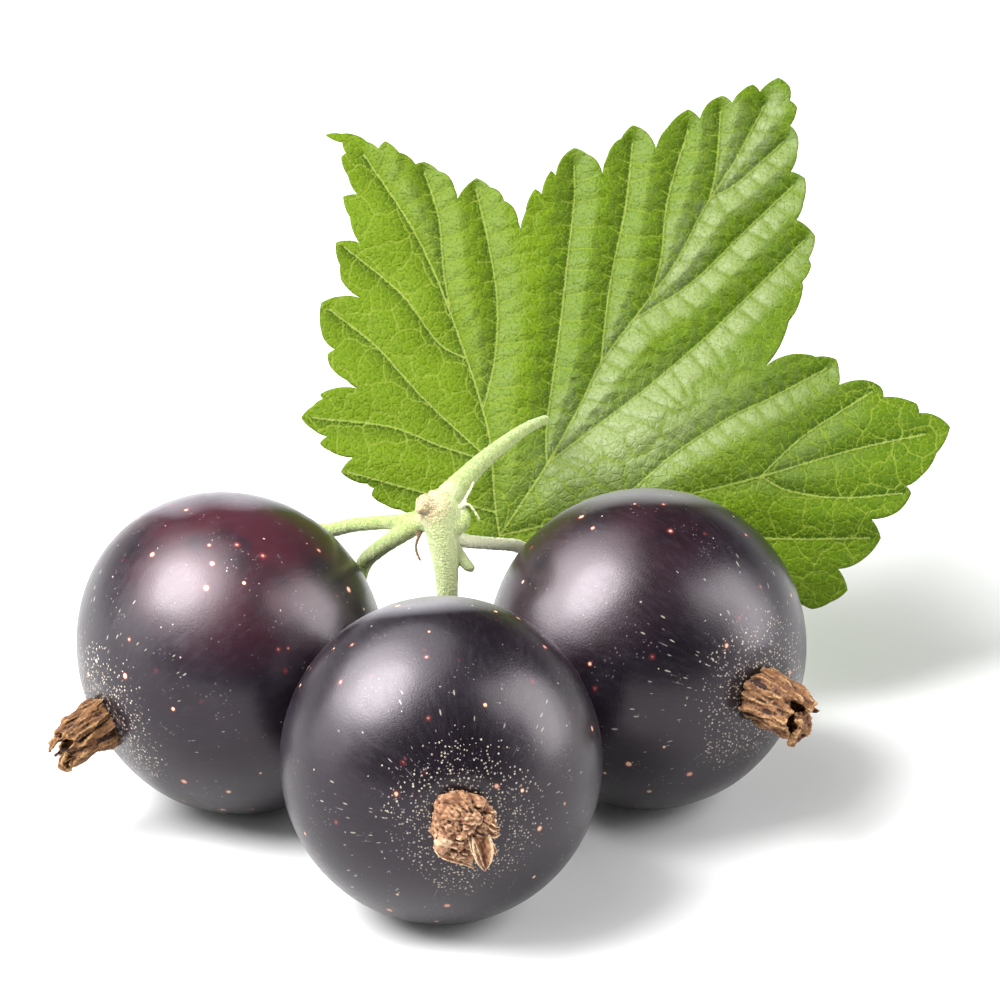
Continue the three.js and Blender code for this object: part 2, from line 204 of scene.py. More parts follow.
def feed(tree, node, sockets):
    """Gives each socket its value, or the output that feeds it."""
    for key, value in sockets.items():
        if isinstance(value, bpy.types.NodeSocket):
            tree.links.new(value, node.inputs[key])
        else:
            node.inputs[key].default_value = value


def add(tree, kind, sockets=(), **settings):
    made = tree.nodes.new(kind)
    for key, value in settings.items():
        setattr(made, key, value)
    feed(tree, made, dict(sockets))
    return made


def calculate(tree, operation, *values):
    return add(tree, "ShaderNodeMath", dict(enumerate(values)), operation=operation).outputs[0]


def plus(tree, a, b):
    return calculate(tree, "ADD", a, b)


def times(tree, a, b):
    return calculate(tree, "MULTIPLY", a, b)


def scaled(tree, value, factor, offset):
    return calculate(tree, "MULTIPLY_ADD", value, factor, offset)


def blend(tree, factor, a, b):
    """The colour a where the factor is 0, and b where it is 1."""
    return add(tree, "ShaderNodeMix", {0: factor, 6: a, 7: b}, data_type="RGBA").outputs[2]


def noise(tree, vector, scale, detail):
    sockets = {"Vector": vector, "Scale": scale, "Detail": detail}
    return add(tree, "ShaderNodeTexNoise", sockets).outputs["Fac"]


def fade(tree, value, start, end):
    """0 at start and 1 at end, smooth between them."""
    sockets = {"Value": value, "From Min": start, "From Max": end}
    return add(tree, "ShaderNodeMapRange", sockets, interpolation_type="SMOOTHSTEP").outputs[0]


def attribute(tree, name, output="Fac"):
    return add(tree, "ShaderNodeAttribute", attribute_name=name).outputs[output]


def new_material(name, **values):
    """A Principled material. A value is set on the shader's own socket, spaces for underscores."""
    material = bpy.data.materials.new(name)
    material.use_nodes = True
    shader = material.node_tree.nodes["Principled BSDF"]
    for key, value in values.items():
        shader.inputs[key.replace("_", " ")].default_value = value
    return material, material.node_tree, shader


def finish(tree, shader, base, height, strength, distance):
    """Gives the shader its colour, and a relief of this depth in millimetres."""
    tree.links.new(base, shader.inputs["Base Color"])
    bump = add(tree, "ShaderNodeBump", {"Height": height, "Strength": strength, "Distance": distance * MM})
    tree.links.new(bump.outputs[0], shader.inputs["Normal"])


def speckle_group():
    """Round specks at chance places. Chance is the share of the places that hold one."""
    group = bpy.data.node_groups.new("speckle", "ShaderNodeTree")
    for name, kind in (("Vector", "NodeSocketVector"), ("Scale", "NodeSocketFloat"),
                       ("Radius", "NodeSocketFloat"), ("Chance", "NodeSocketFloat")):
        group.interface.new_socket(name, in_out="INPUT", socket_type=kind)
    for name in ("Mask", "Tone"):
        group.interface.new_socket(name, in_out="OUTPUT", socket_type="NodeSocketFloat")
    given = group.nodes.new("NodeGroupInput").outputs
    result = group.nodes.new("NodeGroupOutput").inputs
    cells = add(group, "ShaderNodeTexVoronoi", {"Vector": given["Vector"], "Scale": given["Scale"]})
    draw = add(group, "ShaderNodeSeparateColor", {"Color": cells.outputs["Color"]}).outputs
    size = scaled(group, draw["Green"], 0.9, 0.55)
    rim = times(group, times(group, given["Radius"], given["Scale"]), size)
    inner = times(group, rim, 0.55)
    spot = fade(group, cells.outputs["Distance"], rim, inner)
    held = calculate(group, "LESS_THAN", draw["Red"], given["Chance"])
    group.links.new(times(group, spot, held), result["Mask"])
    group.links.new(draw["Blue"], result["Tone"])
    return group


speckle = speckle_group()


def speck(tree, vector, scale, radius, chance):
    made = add(tree, "ShaderNodeGroup", node_tree=speckle)
    feed(tree, made, {"Vector": vector, "Scale": scale, "Radius": radius, "Chance": chance})
    return made.outputs


def berry_skin():
    """Near-black violet skin, with pale specks round the dried flower, streaks beyond them and warm dots."""
    material, tree, shader = new_material("berry_skin", IOR=1.40, Specular_Tint=(1, 0.88, 0.96, 1),
                                          Coat_Weight=0.15, Coat_Roughness=0.2)
    place = attribute(tree, "skin", "Vector")
    parts = add(tree, "ShaderNodeSeparateXYZ", {0: place}).outputs
    angle = calculate(tree, "ARCCOSINE", parts["Z"])
    around = add(tree, "ShaderNodeCombineXYZ", {"X": parts["X"], "Y": parts["Y"]}).outputs[0]
    around = add(tree, "ShaderNodeVectorMath", {0: around}, operation="NORMALIZE").outputs[0]
    along = add(tree, "ShaderNodeCombineXYZ", {"Z": times(tree, angle, 0.4)}).outputs[0]
    ray = add(tree, "ShaderNodeVectorMath", {0: around, 1: along}, operation="ADD").outputs[0]

    cloud = noise(tree, place, 2.2, 4)
    patch = noise(tree, place, 5.5, 3)
    grain = noise(tree, place, 70, 3)
    combed = noise(tree, ray, 26, 3)

    base = blend(tree, fade(tree, cloud, 0.35, 0.68), (0.0022, 0.0012, 0.0026, 1), (0.0050, 0.0034, 0.0063, 1))
    blush = times(tree, attribute(tree, "blush"), fade(tree, cloud, 0.3, 0.55))
    base = blend(tree, blush, base, (0.034, 0.0045, 0.0075, 1))
    haze = times(tree, fade(tree, combed, 0.45, 0.8), 0.3)
    base = blend(tree, haze, base, (0.016, 0.012, 0.018, 1))
    # Painted reflection: a paler grey on the top back side, the bright room mirrored along the upper rim.
    base = blend(tree, attribute(tree, "painted_rim_shine"), base, (0.125, 0.119, 0.134, 1))

    dust = speck(tree, place, 60, 0.0055, times(tree, fade(tree, patch, 0.5, 0.72), 0.35))
    base = blend(tree, times(tree, dust["Mask"], 0.15), base, (0.40, 0.36, 0.36, 1))
    near = fade(tree, plus(tree, angle, times(tree, patch, 0.25)), 0.74, 0.44)
    fine = speck(tree, place, 54, 0.0062, scaled(tree, near, 0.98, 0.004))
    cream = blend(tree, fine["Tone"], (0.17, 0.15, 0.13, 1), (0.42, 0.37, 0.29, 1))
    base = blend(tree, times(tree, fine["Mask"], 0.85), base, cream)
    belt = times(tree, fade(tree, angle, 0.4, 0.55), fade(tree, angle, 1.15, 0.75))
    streak = speck(tree, ray, 22, 0.0075, times(tree, belt, 0.45))
    base = blend(tree, times(tree, streak["Mask"], 0.4), base, (0.42, 0.37, 0.30, 1))
    along = add(tree, "ShaderNodeCombineXYZ", {"Z": times(tree, angle, 0.07)}).outputs[0]
    long_ray = add(tree, "ShaderNodeVectorMath", {0: around, 1: along}, operation="ADD").outputs[0]
    belt = times(tree, fade(tree, angle, 0.28, 0.4), fade(tree, angle, 0.95, 0.7))
    scratch = speck(tree, long_ray, 34, 0.0042, times(tree, belt, fade(tree, patch, 0.5, 0.7)))
    base = blend(tree, times(tree, scratch["Mask"], 0.35), base, (0.30, 0.27, 0.25, 1))
    halo = speck(tree, place, 6.5, 0.027, 0.55)
    base = blend(tree, times(tree, halo["Mask"], 0.45), base, (0.11, 0.012, 0.014, 1))
    dots = speck(tree, place, 6.5, 0.0165, 0.55)
    warm = blend(tree, dots["Tone"], (0.44, 0.20, 0.15, 1), (0.55, 0.42, 0.26, 1))
    base = blend(tree, times(tree, dots["Mask"], 0.92), base, warm)

    rough = scaled(tree, combed, 0.16, 0.25)
    tree.links.new(plus(tree, rough, times(tree, dots["Mask"], 0.2)), shader.inputs["Roughness"])
    raised = plus(tree, times(tree, grain, 1.1), fine["Mask"])
    raised = plus(tree, raised, dots["Mask"])
    finish(tree, shader, base, raised, 0.3, 0.02)
    return material


def ripe_berry(name, berry, seed):
    bpy.ops.mesh.primitive_uv_sphere_add(segments=200, ring_count=120, radius=1)
    piece = bpy.context.object
    piece.name = name
    ball = vertices_of(piece.data)
    across = berry["radius"] * np.hypot(ball[:, 0], ball[:, 1])
    dimple = DIMPLE * np.maximum(0, 1 - (across / DIMPLE_RADIUS) ** 2)
    along = (np.where(ball[:, 2] > 0, berry["half"], berry["shoulder"]) - dimple) * ball[:, 2]
    shape = np.column_stack([ball[:, :2] * berry["radius"], along])
    shape *= (1 + 0.004 * ripples(ball, 1.6, seed) + 0.0008 * ripples(ball, 0.35, seed + 1))[:, None]
    turn = np.array(Vector((0, 0, 1)).rotation_difference(berry["axis"]).to_matrix()).T
    placed = shape @ turn * (1, 1, berry["tall"]) + np.array(berry["centre"])
    placed[:, 2] = np.maximum(placed[:, 2], 0)
    move_vertices(piece.data, placed * MM)
    bpy.ops.object.shade_smooth()
    keep_value(piece.data, "skin", ball)
    facing = ball @ turn @ np.array(Vector(berry["blush"]).normalized())
    keep_value(piece.data, "blush", berry["blush_size"] * np.clip((facing - BLUSH_FROM) / BLUSH_FADE, 0, 1))
    # Painted reflection: paler where the skin faces the top back side.
    shoulder = ball @ turn @ np.array(RIM_SHINE_WAY)
    rim_shine_mask = np.clip((shoulder + 0.03 * ripples(ball, 0.5, seed + 2) - RIM_SHINE_FROM) / RIM_SHINE_FADE, 0, 1)
    keep_value(piece.data, "painted_rim_shine", berry["painted_rim_shine"] * rim_shine_mask)
    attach(piece, "root")
    return piece


skin = berry_skin()
for index, (place, berry) in enumerate(BERRIES.items()):
    fruit = ripe_berry(f"ripe_berry_{place}", berry, 10 * index + 3)
    fruit.data.materials.append(skin)
    glossy[place].objects.link(fruit)
    glossy["fruit"].objects.link(fruit)
    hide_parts(f"berry_{place}")


# The leaf is one thin soft blade with three lobes and a toothed edge. Its veins sink into the upper face, the
# blade swells between them, and the main ones are ribs underneath. Its sizes lie in a drawing plane.
BLADE_ORIGIN = Vector((4.34, 19.75, 10.55))
BLADE_THICKNESS = 0.24
MARGIN = [
    (-9.5, 14.2), (-8.8, 14.25), (-8.2, 14.2), (-7.7, 13.9), (-7.2, 13.6), (-6.9, 13.9), (-6.3, 13.4),
    (-6, 13.3), (-5.6, 12.9), (-5.2, 13), (-4.6, 12.6), (-4.2, 12.4), (-3.9, 11.8), (-3.8, 11.4),
    (-3, 12.3), (-2.4, 11.9), (-2, 11.7), (-1.8, 11.3), (-1.4, 11), (-1.2, 10.4), (-1.1, 9.7), (-0.9, 10.8),
    (-0.5, 11.8), (-0.2, 11.6), (0.2, 12.6), (0.4, 12.4), (0.7, 13.2), (1.2, 13.6), (1.8, 13.3), (2, 13.2),
    (2.3, 12.8), (2.4, 12.3), (2.6, 13.2), (3, 13.9), (3.2, 14), (3.7, 14.6), (4.3, 14.3), (4.7, 13.6),
    (5.2, 14.5), (6.1, 15.3), (6.6, 14.9), (7, 15.6), (7.6, 15.9), (8, 15.6), (8.4, 16.1), (8.9, 16.4),
    (9.2, 16.1), (10, 16.7), (10.5, 16.3), (10.5, 15.7), (10.8, 15.4), (10.5, 14.6), (10.8, 14.2),
    (10.8, 13.5), (10.5, 12.6), (11.1, 12.3), (11, 11.2), (10.7, 10.5), (11.5, 9.8), (11.2, 8.8),
    (11.3, 8.5), (10.9, 7.8), (10.9, 7.4), (10.3, 6.1), (9.2, 4.1), (10, 4.6), (11, 4.7), (11.4, 4.6),
    (12.3, 4.5), (12.4, 4), (12.4, 3.4), (13.6, 3.6), (14.2, 3.3), (14.3, 2.9), (15.7, 2.6), (15.8, 2.2),
    (16.5, 2.1), (17.1, 1.6), (16.5, 0.5), (15.8, -0.5), (15.2, -0.9), (15.4, -1.2), (14.8, -2),
    (13.7, -2.3), (14.1, -3.1), (13.2, -4.1), (12.3, -4.4), (12.7, -5.3), (12, -5.8), (11.2, -6.1),
    (10.4, -5.6), (9.1, -6.1), (8, -5.2), (6.6, -5.5), (5.9, -4.6), (4.3, -4.9), (3.5, -4.1), (1.9, -4.3),
    (1, -3.6), (-0.6, -3.8), (-1.8, -3.1), (-2.5, -3.3), (-3.5, -3.2), (-4.5, -2.7), (-5.3, -2.1),
    (-6.2, -1.9), (-6.8, -1.7), (-7.4, -1.3), (-7.3, -1), (-7.6, -0.8), (-8.1, -0.7), (-8.7, -0.3),
    (-8.2, 0.3), (-9.2, 0.6), (-9.6, 0.9), (-9.3, 1.2), (-9.9, 1.5), (-10.4, 2), (-9.9, 2.5), (-9.5, 2.8),
    (-9.6, 3), (-8.6, 3.3), (-7.7, 3.1), (-8.5, 3.6), (-9.2, 4.2), (-9.3, 4.7), (-9, 4.9), (-9.5, 5.4),
    (-9.6, 6.9), (-8.7, 7.2), (-7.9, 7.1), (-8.7, 7.8), (-8.8, 8.2), (-8.8, 8.5), (-9, 9.5), (-8.5, 9.6),
    (-8, 9.5), (-8.4, 10.6), (-8.7, 11.5), (-8.1, 11.6), (-8.5, 12.4), (-8.8, 13.2), (-8.6, 13.4),
    (-8.75, 13.85),
]
EDGE_SWELL = 0.07
VEINS = [
    (0.16, [(-2, -3), (0, 0), (1.4, 2.5), (2.3, 4.3), (4, 6.6), (5.5, 8.6), (6.7, 10.9), (8, 12.9),
            (9.4, 15.5)]),
    (0.15, [(-2, -3), (-2.2, -1.5), (-2.4, 1), (-2.9, 3), (-3.6, 5.1), (-4.3, 7), (-5, 8.7), (-6, 10.6),
            (-7.8, 13.3)]),
    (0.13, [(-2, -3), (2.4, -2), (6.2, -1.2), (9, -0.5), (10.7, 0), (13.2, 0.7), (16, 1.3)]),
    (0.12, [(0, 0), (0, 1.7), (0.5, 5.3), (0.9, 8.7), (1.2, 11.4), (1.2, 12.8)]),
    (0.11, [(2.3, 4.3), (2.6, 7), (2.9, 8.7), (3.4, 11.1), (3.7, 13.8)]),
    (0.10, [(4.5, 7.3), (4.9, 8.9), (5.2, 11.4), (6.1, 14.4)]),
    (0.09, [(7, 11.4), (7.3, 12.8), (7.5, 15.2)]),
    (0.09, [(7, 11.4), (8.2, 12.1), (10.2, 13.9)]),
    (0.10, [(3.7, 6.2), (6.1, 7.7), (8.6, 10.1), (10.6, 12)]),
    (0.11, [(0.2, 0.2), (3.9, 3), (6.5, 5.2), (8.4, 7), (11, 9.6)]),
    (0.11, [(2.4, -2), (3.9, -0.8), (5.4, 0.5), (7.7, 2), (9.4, 2.8), (11.9, 4.1)]),
    (0.09, [(9, -0.5), (9.8, 0.3), (11.1, 1.4), (13.8, 3.1)]),
    (0.09, [(9, -0.5), (10.2, -1.1), (12.4, -1.4), (15, -1.2)]),
    (0.10, [(3.9, -1.7), (6.4, -2.7), (9.3, -3.1), (13.6, -3.1)]),
    (0.10, [(-2.3, 0.1), (-4.9, 2.5), (-6.2, 3.9), (-7.3, 5.1), (-9.2, 6.6)]),
    (0.10, [(-2.3, 0.1), (-4.5, 0.8), (-6.6, 1.6), (-9.9, 2)]),
    (0.09, [(-2.2, -2), (-5.1, -1.2), (-8.4, -0.3)]),
    (0.09, [(-3.4, 4.5), (-4.6, 5.2), (-6.2, 7.3), (-8.6, 9.3)]),
    (0.09, [(-4.1, 6.6), (-4.4, 8.4), (-4.6, 10.6), (-5.2, 12.5)]),
    (0.10, [(-2.7, 2.3), (-2.2, 4.5), (-2.1, 7), (-2.5, 9.6), (-3, 11.8)]),
]
LINE_STEP = 0.075
TOP_STEP = 0.085
UNDER_STEP = 0.15
CELL_SIZE = 1.05
FOLD_HEIGHT = 0.9  # of the low fold in the blade, whose top is at FOLD_X and FOLD_Y
FOLD_X, FOLD_Y = 6.6, 0.8
FOLD_WIDTH, FOLD_LENGTH = 3.8, 3.6
SHADE_WIDTHS = (0.2, 0.65)  # of the sharp and the soft painted shade on a vein's left side
LIT_FROM, LIT_TO, LIT_FADE = 0.1, 0.95, 0.14  # how far from a vein its lit side lies, where sheen is painted, and its soft outer edge
FOOT_SHINE = (3.6, 1.0)  # the middle of the painted shine on the smooth foot of the blade
FOOT_SHINE_WAY = (0.87, 0.5)
FOOT_SHINE_SIZE = (4.6, 2.0)
RIB_HEIGHT = RIB_WIDTH = 0.2  # of the main veins underneath


def smooth_line(points, step):
    """A smooth line through the points, sampled about every step. Any further numbers change along it too."""
    knots = np.array(points, float)
    ends = np.vstack([2 * knots[0] - knots[1], knots, 2 * knots[-1] - knots[-2]])
    stretches = []
    for a, b, c, d in zip(ends, ends[1:], ends[2:], ends[3:]):
        t = np.linspace(0, 1, max(2, math.ceil(np.linalg.norm(c - b) / step)), endpoint=False)[:, None]
        curve = 2 * b + (c - a) * t + (2 * a - 5 * b + 4 * c - d) * t**2 + (3 * b - a - 3 * c + d) * t**3
        stretches.append(curve / 2)
    return np.vstack([*stretches, knots[-1:]])


def bell(distance, width):
    """1 at no distance, falling smoothly to 0 over about twice the width."""
    return np.exp(-((distance / width) ** 2))


def toothed_edge(step):
    edge = []
    for (ax, ay), (bx, by) in zip(MARGIN, MARGIN[1:] + MARGIN[:1]):
        length = math.hypot(bx - ax, by - ay)
        out = 2 * EDGE_SWELL
        cx = (ax + bx) / 2 - out * (by - ay)
        cy = (ay + by) / 2 + out * (bx - ax)
        for t in np.linspace(0, 1, max(2, round(length / step)), endpoint=False):
            a, b, c = (1 - t) ** 2, 2 * t * (1 - t), t * t
            edge.append((a * ax + b * cx + c * bx, a * ay + b * cy + c * by))
    return np.array(edge[::-1])


def tree_of(points):
    tree = KDTree(len(points))
    for i, p in enumerate(points):
        tree.insert((p[0], p[1], 0), i)
    tree.balance()
    return tree


def nearest(tree, points):
    """For each point, the number of the nearest one in the tree and how far it is."""
    found = [tree.find((x, y, 0)) for x, y in points]
    return np.array([f[1] for f in found]), np.array([f[2] for f in found])


def inside_edge(points, edge):
    after = np.roll(edge, -1, axis=0)
    crossings = np.zeros(len(points), int)
    for (ax, ay), (bx, by) in zip(edge, after):
        if ay == by:
            continue
        spans = (points[:, 1] < ay) != (points[:, 1] < by)
        crossings += spans & (points[:, 0] < ax + (points[:, 1] - ay) * (bx - ax) / (by - ay))
    return crossings % 2 == 1


def scattered(step, seed):
    """Points all over the sheet in a slightly uneven three-way grid."""
    chance = np.random.default_rng(seed)
    rows = []
    for i, y in enumerate(np.arange(-6.6, 17, step * math.sqrt(3) / 2)):
        x = np.arange(-10.8, 17.4, step) + (step / 2 if i % 2 else 0)
        rows.append(np.column_stack([x, np.full(len(x), y)]))
    grid = np.vstack(rows)
    return grid + chance.uniform(-0.18, 0.18, grid.shape) * step


def pleated_at(x, y):
    """1 on the middle lobe, which is pleated, and 0 on the flatter side lobes."""
    left_vein = np.interp(y, [-3, 1, 5.1, 8.7, 13.3], [-2, -2.4, -3.6, -5, -7.8])
    return np.clip((x - left_vein) / 0.8, 0, 1) * np.clip((y + 1.5) / 4, 0, 1) * np.clip((14 - x) / 5, 0, 1)


def rung_lines(rib_tree):
    """The veins that run like rungs from the right side of each main vein, and shorter ones on its left."""
    chance = np.random.default_rng(7)
    rungs = []
    for _, points in VEINS:
        line = smooth_line(points, 0.05)
        travelled = np.concatenate([[0], np.cumsum(np.hypot(*np.diff(line, axis=0).T))])
        ahead = np.gradient(line, axis=0)
        ahead /= np.linalg.norm(ahead, axis=1)[:, None]
        at = 0.3
        while at < travelled[-1] - 0.3:
            i = np.searchsorted(travelled, at)
            across = np.array([ahead[i, 1], -ahead[i, 0]])
            for side, reach in ((1, 1.7), (-1, 0.6)):
                s = np.arange(0.08, reach * chance.uniform(0.6, 1.1), LINE_STEP)[:, None]
                climb = chance.uniform(-0.15, 0.45) * s + chance.uniform(-0.12, 0.3) * s * s
                rungs.append(np.hstack([line[i] + side * s * across + climb * ahead[i], s]))
            at += chance.uniform(0.7, 1.15)
    rungs = np.vstack(rungs)
    away = nearest(rib_tree, rungs[:, :2])[1]
    return rungs[(away > 0.62 * rungs[:, 2]) & (pleated_at(*rungs[:, :2].T) > 0.2), :2]


def net_lines(edge, rib_tree):
    """The finer veins: the rungs, and the borders of uneven cells in rows between the main veins."""
    chance = np.random.default_rng(5)
    field = np.column_stack([chance.uniform(-10.6, 17.3, 9000), chance.uniform(-6.3, 16.9, 9000)])
    _, away = nearest(rib_tree, field)
    field = field[np.argsort(-np.minimum(away, 0.8) - chance.uniform(0, 0.25, len(field)))]
    seeds = np.empty((0, 2))
    for p in field:
        if not len(seeds) or np.min(np.hypot(*(seeds - p).T)) > CELL_SIZE:
            seeds = np.vstack([seeds, p])
    seeds, _, faces = delaunay_2d_cdt([Vector(p) for p in seeds.tolist()], [], [], 0, 1e-6)[:3]
    middles = []
    sides = {}
    for number, face in enumerate(faces):
        (ax, ay), (bx, by), (cx, cy) = (seeds[i] for i in face)
        d = 2 * (ax * (by - cy) + bx * (cy - ay) + cx * (ay - by))
        a, b, c = ax * ax + ay * ay, bx * bx + by * by, cx * cx + cy * cy
        middles.append(((a * (by - cy) + b * (cy - ay) + c * (ay - by)) / d,
                        (a * (cx - bx) + b * (ax - cx) + c * (bx - ax)) / d))
        for i, j in zip(face, (*face[1:], face[0])):
            sides.setdefault((min(i, j), max(i, j)), []).append(number)
    lines = []
    for pair in sides.values():
        if len(pair) == 2:
            a, b = np.array(middles[pair[0]]), np.array(middles[pair[1]])
            length = np.hypot(*(b - a))
            if 0.05 < length < 4:
                lines.append(a + (b - a) * np.linspace(0, 1, max(2, round(length / LINE_STEP)))[:, None])
    lines = np.vstack(lines)
    sway = np.column_stack([ripples(lines, 0.9, 61), ripples(lines, 0.9, 62)])
    lines = lines + 0.07 * sway
    away = nearest(rib_tree, lines)[1]
    lines = np.vstack([lines[away > 1.1 * pleated_at(*lines.T)], rung_lines(rib_tree)])
    return lines[inside_edge(lines, edge)]


def thinned(points, gap, *kept):
    """The points that are at least this far from the kept ones."""
    far = np.ones(len(points), bool)
    for others, room in kept:
        far &= nearest(tree_of(others), points)[1] > room * gap
    return points[far]


def blade_layout():
    """The blade's edge, the points and widths along its main veins, and the points of its finer ones."""
    edge = toothed_edge(0.1)
    ribs = [(width, smooth_line(line, LINE_STEP)) for width, line in VEINS]
    rib_points = np.vstack([line for _, line in ribs])
    taper = [width * np.linspace(1, 0.45, len(line)) for width, line in ribs]
    rib_widths = np.concatenate(taper)
    kept = inside_edge(rib_points, edge) & (nearest(tree_of(edge), rib_points)[1] > 0.06)
    rib_points, rib_widths = rib_points[kept], rib_widths[kept]
    net = net_lines(edge, tree_of(rib_points))
    return edge, rib_points, rib_widths, net


def lean_of(x, y):
    """How the blade leans away from its drawing plane, with its low fold."""
    fold = FOLD_HEIGHT * bell(x - FOLD_X, FOLD_WIDTH) * bell(y - FOLD_Y, FOLD_LENGTH)
    return np.where(y > 0, -0.4 * y, -0.3 * y - 0.06 * y * y) - 0.004 * x * x + fold


edge, rib_points, rib_widths, net = blade_layout()
rib_tree, net_tree = tree_of(rib_points), tree_of(net)


def distinct(points, gap):
    """Leaves out the points that nearly coincide with an earlier one."""
    cells = np.round(points / gap).astype(int)
    _, first = np.unique(cells, axis=0, return_index=True)
    return points[np.sort(first)]


def furrow(flat):
    """0 at each main vein and 1 between them, and how much painted shade a vein's left side takes and how much
    painted sheen its lit right side takes.
    """
    rise, shaded, lit = np.ones(len(flat)), np.zeros(len(flat)), np.zeros(len(flat))
    for _, points in VEINS:
        line = smooth_line(points, 0.5)
        away, side = np.full(len(flat), np.inf), np.zeros(len(flat))
        for (ax, ay), (dx, dy) in zip(line, np.diff(line, axis=0)):
            x, y = flat[:, 0] - ax, flat[:, 1] - ay
            t = np.clip((x * dx + y * dy) / (dx * dx + dy * dy), 0, 1)
            distance = np.hypot(x - t * dx, y - t * dy)
            closer = distance < away
            turned = (dx * y - dy * x) / (math.hypot(dx, dy) * np.maximum(distance, 1e-4))
            away, side = np.where(closer, distance, away), np.where(closer, turned, side)
        left = np.clip(0.5 + 0.8 * side, 0, 1)
        rise = np.minimum(rise, 1 - bell(away, 0.75 + 0.15 * left))
        sharp, soft = (bell(away, width) for width in SHADE_WIDTHS)
        shaded = np.maximum(shaded, left * (0.55 * sharp + 0.45 * soft))
        slope = np.clip(away / LIT_FROM, 0, 1) / (1 + np.exp((away - LIT_TO) / LIT_FADE))
        lit = np.maximum(lit, (1 - left) * slope)
    return rise, shaded, lit


def foot_shine(x, y):
    """1 in the middle of the painted shine on the blade's foot, and 0 away from it."""
    run, climb = FOOT_SHINE_WAY
    x, y = x - FOOT_SHINE[0], y - FOOT_SHINE[1]
    along, across = run * x + climb * y, run * y - climb * x
    return bell(along, FOOT_SHINE_SIZE[0]) * bell(across, FOOT_SHINE_SIZE[1])


def light_side(x, y):
    """How much a vein's right side faces the light: little left of the midrib, and fully right of it."""
    past_midrib = 0.86 * x - 0.52 * y
    return 0.3 + 0.75 * np.clip((past_midrib + 1.3) / 1.6, 0, 1)


def blade_height(flat):
    """How far the upper face stands in front of the drawing plane, and the values that its finish reads."""
    x, y = flat.T
    rib_index, from_rib = nearest(rib_tree, flat)
    _, from_net = nearest(net_tree, flat)
    width = rib_widths[rib_index]
    pleated = pleated_at(x, y)
    rise, shaded, lit = furrow(flat)
    from_line = np.minimum(from_net, from_rib)
    pillow = 1 - bell(from_line, 0.16 + 0.12 * pleated)
    crease = bell(from_line, 0.08)
    # Painted sheen on each vein's lit side and on the blade's foot, unevenly strong and dimmer along the fine
    # veins.
    uneven_sheen = 0.72 + 0.1 * ripples(flat, 0.9, 73)
    facing = pleated * light_side(x, y)
    sheen = np.clip((lit * facing + 1.2 * foot_shine(x, y)) * (uneven_sheen + 0.18 * pillow - 0.36 * crease), 0, 1)
    # Painted shade along the fine veins where the blade is pleated.
    shaded = np.maximum(shaded, 0.28 * facing * crease)
    pleat = (0.14 + 0.36 * pleated) * rise
    quilt = (0.03 + 0.09 * pleated) * pillow
    sway = 0.06 * ripples(flat, 3.5, 71) + 0.012 * ripples(flat, 0.5, 72)
    upper = lean_of(x, y) + pleat + quilt + sway + 0.05
    rib = np.clip(1 - from_rib / width, 0, 1)
    return upper + 0.04 * rib, from_rib, width, from_net, shaded, facing, sheen


def build_blade():
    """The points and triangles of the upper face, and those of the lower one, which shares its edge."""
    line_points = distinct(np.vstack([rib_points, thinned(net, 1, (rib_points, 0.07), (edge, 0.06))]), 0.03)
    filler = scattered(TOP_STEP, 8)
    filler = filler[inside_edge(filler, edge)]
    top_flat = np.vstack([edge, line_points, thinned(filler, TOP_STEP, (line_points, 0.6), (edge, 0.6))])
    filler = scattered(UNDER_STEP, 9)
    filler = filler[inside_edge(filler, edge)]
    under_flat = np.vstack([edge, thinned(filler, UNDER_STEP, (edge, 0.5))])
    rim = list(range(len(edge)))
    halves = []
    for flat in (top_flat, under_flat):
        made = delaunay_2d_cdt([Vector(p) for p in flat.tolist()], [], [rim], 1, 1e-7)
        halves.append((np.array([tuple(v) for v in made[0]]), [tuple(f) for f in made[2]]))
    return halves


def blade_mesh():
    (top, top_faces), (under, under_faces) = build_blade()
    count = len(edge)
    height, from_rib, width, from_net, shaded, facing, sheen = blade_height(top)
    under_height, under_from_rib, *_ = blade_height(under)
    under_height = under_height - BLADE_THICKNESS - RIB_HEIGHT * bell(under_from_rib, RIB_WIDTH)
    height[:count] -= 0.03
    under_height[:count] = height[:count] - 0.1
    flat = np.vstack([top, under])
    raised = np.concatenate([height, under_height])
    co = np.array(BLADE_ORIGIN) + flat[:, :1] * np.array(RIGHT) + flat[:, 1:] * np.array(UP)
    co = co + raised[:, None] * np.array(BACK)
    faces = list(top_faces) + [tuple(i + len(top) for i in reversed(f)) for f in under_faces]
    for i in range(count):
        j = (i + 1) % count
        faces.append((j, i, i + len(top), j + len(top)))
    mesh = bpy.data.meshes.new("leaf_blade")
    mesh.from_pydata((co * MM).tolist(), [], faces)
    lower = np.zeros(len(faces), np.int32)
    lower[len(top_faces):] = 1
    mesh.polygons.foreach_set("material_index", lower)
    mesh.polygons.foreach_set("use_smooth", np.ones(len(faces), bool))
    spare = np.zeros(len(under))
    rib = np.clip(1 - from_rib / (0.6 * width + 0.01), 0, 1)
    keep_value(mesh, "rib", np.concatenate([rib, bell(under_from_rib, 0.13)]))
    keep_value(mesh, "net", np.concatenate([np.clip(1 - from_net / 0.055, 0, 1), spare]))
    # Painted shade beside the veins, and painted sheen on their lit sides and on the blade's foot.
    keep_value(mesh, "hollow", np.concatenate([shaded, spare]))
    keep_value(mesh, "sheen", np.concatenate([sheen, spare]))
    keep_value(mesh, "facing", np.concatenate([facing, spare]))
    keep_value(mesh, "flat", np.column_stack([flat, np.zeros(len(flat))]))
    return mesh


def cell_borders(tree, vector, scale):
    """The distance to the nearest border of a net of uneven flat cells."""
    made = add(tree, "ShaderNodeTexVoronoi", {"Vector": vector, "Scale": scale}, voronoi_dimensions="2D",
               feature="DISTANCE_TO_EDGE")
    return made.outputs[0]


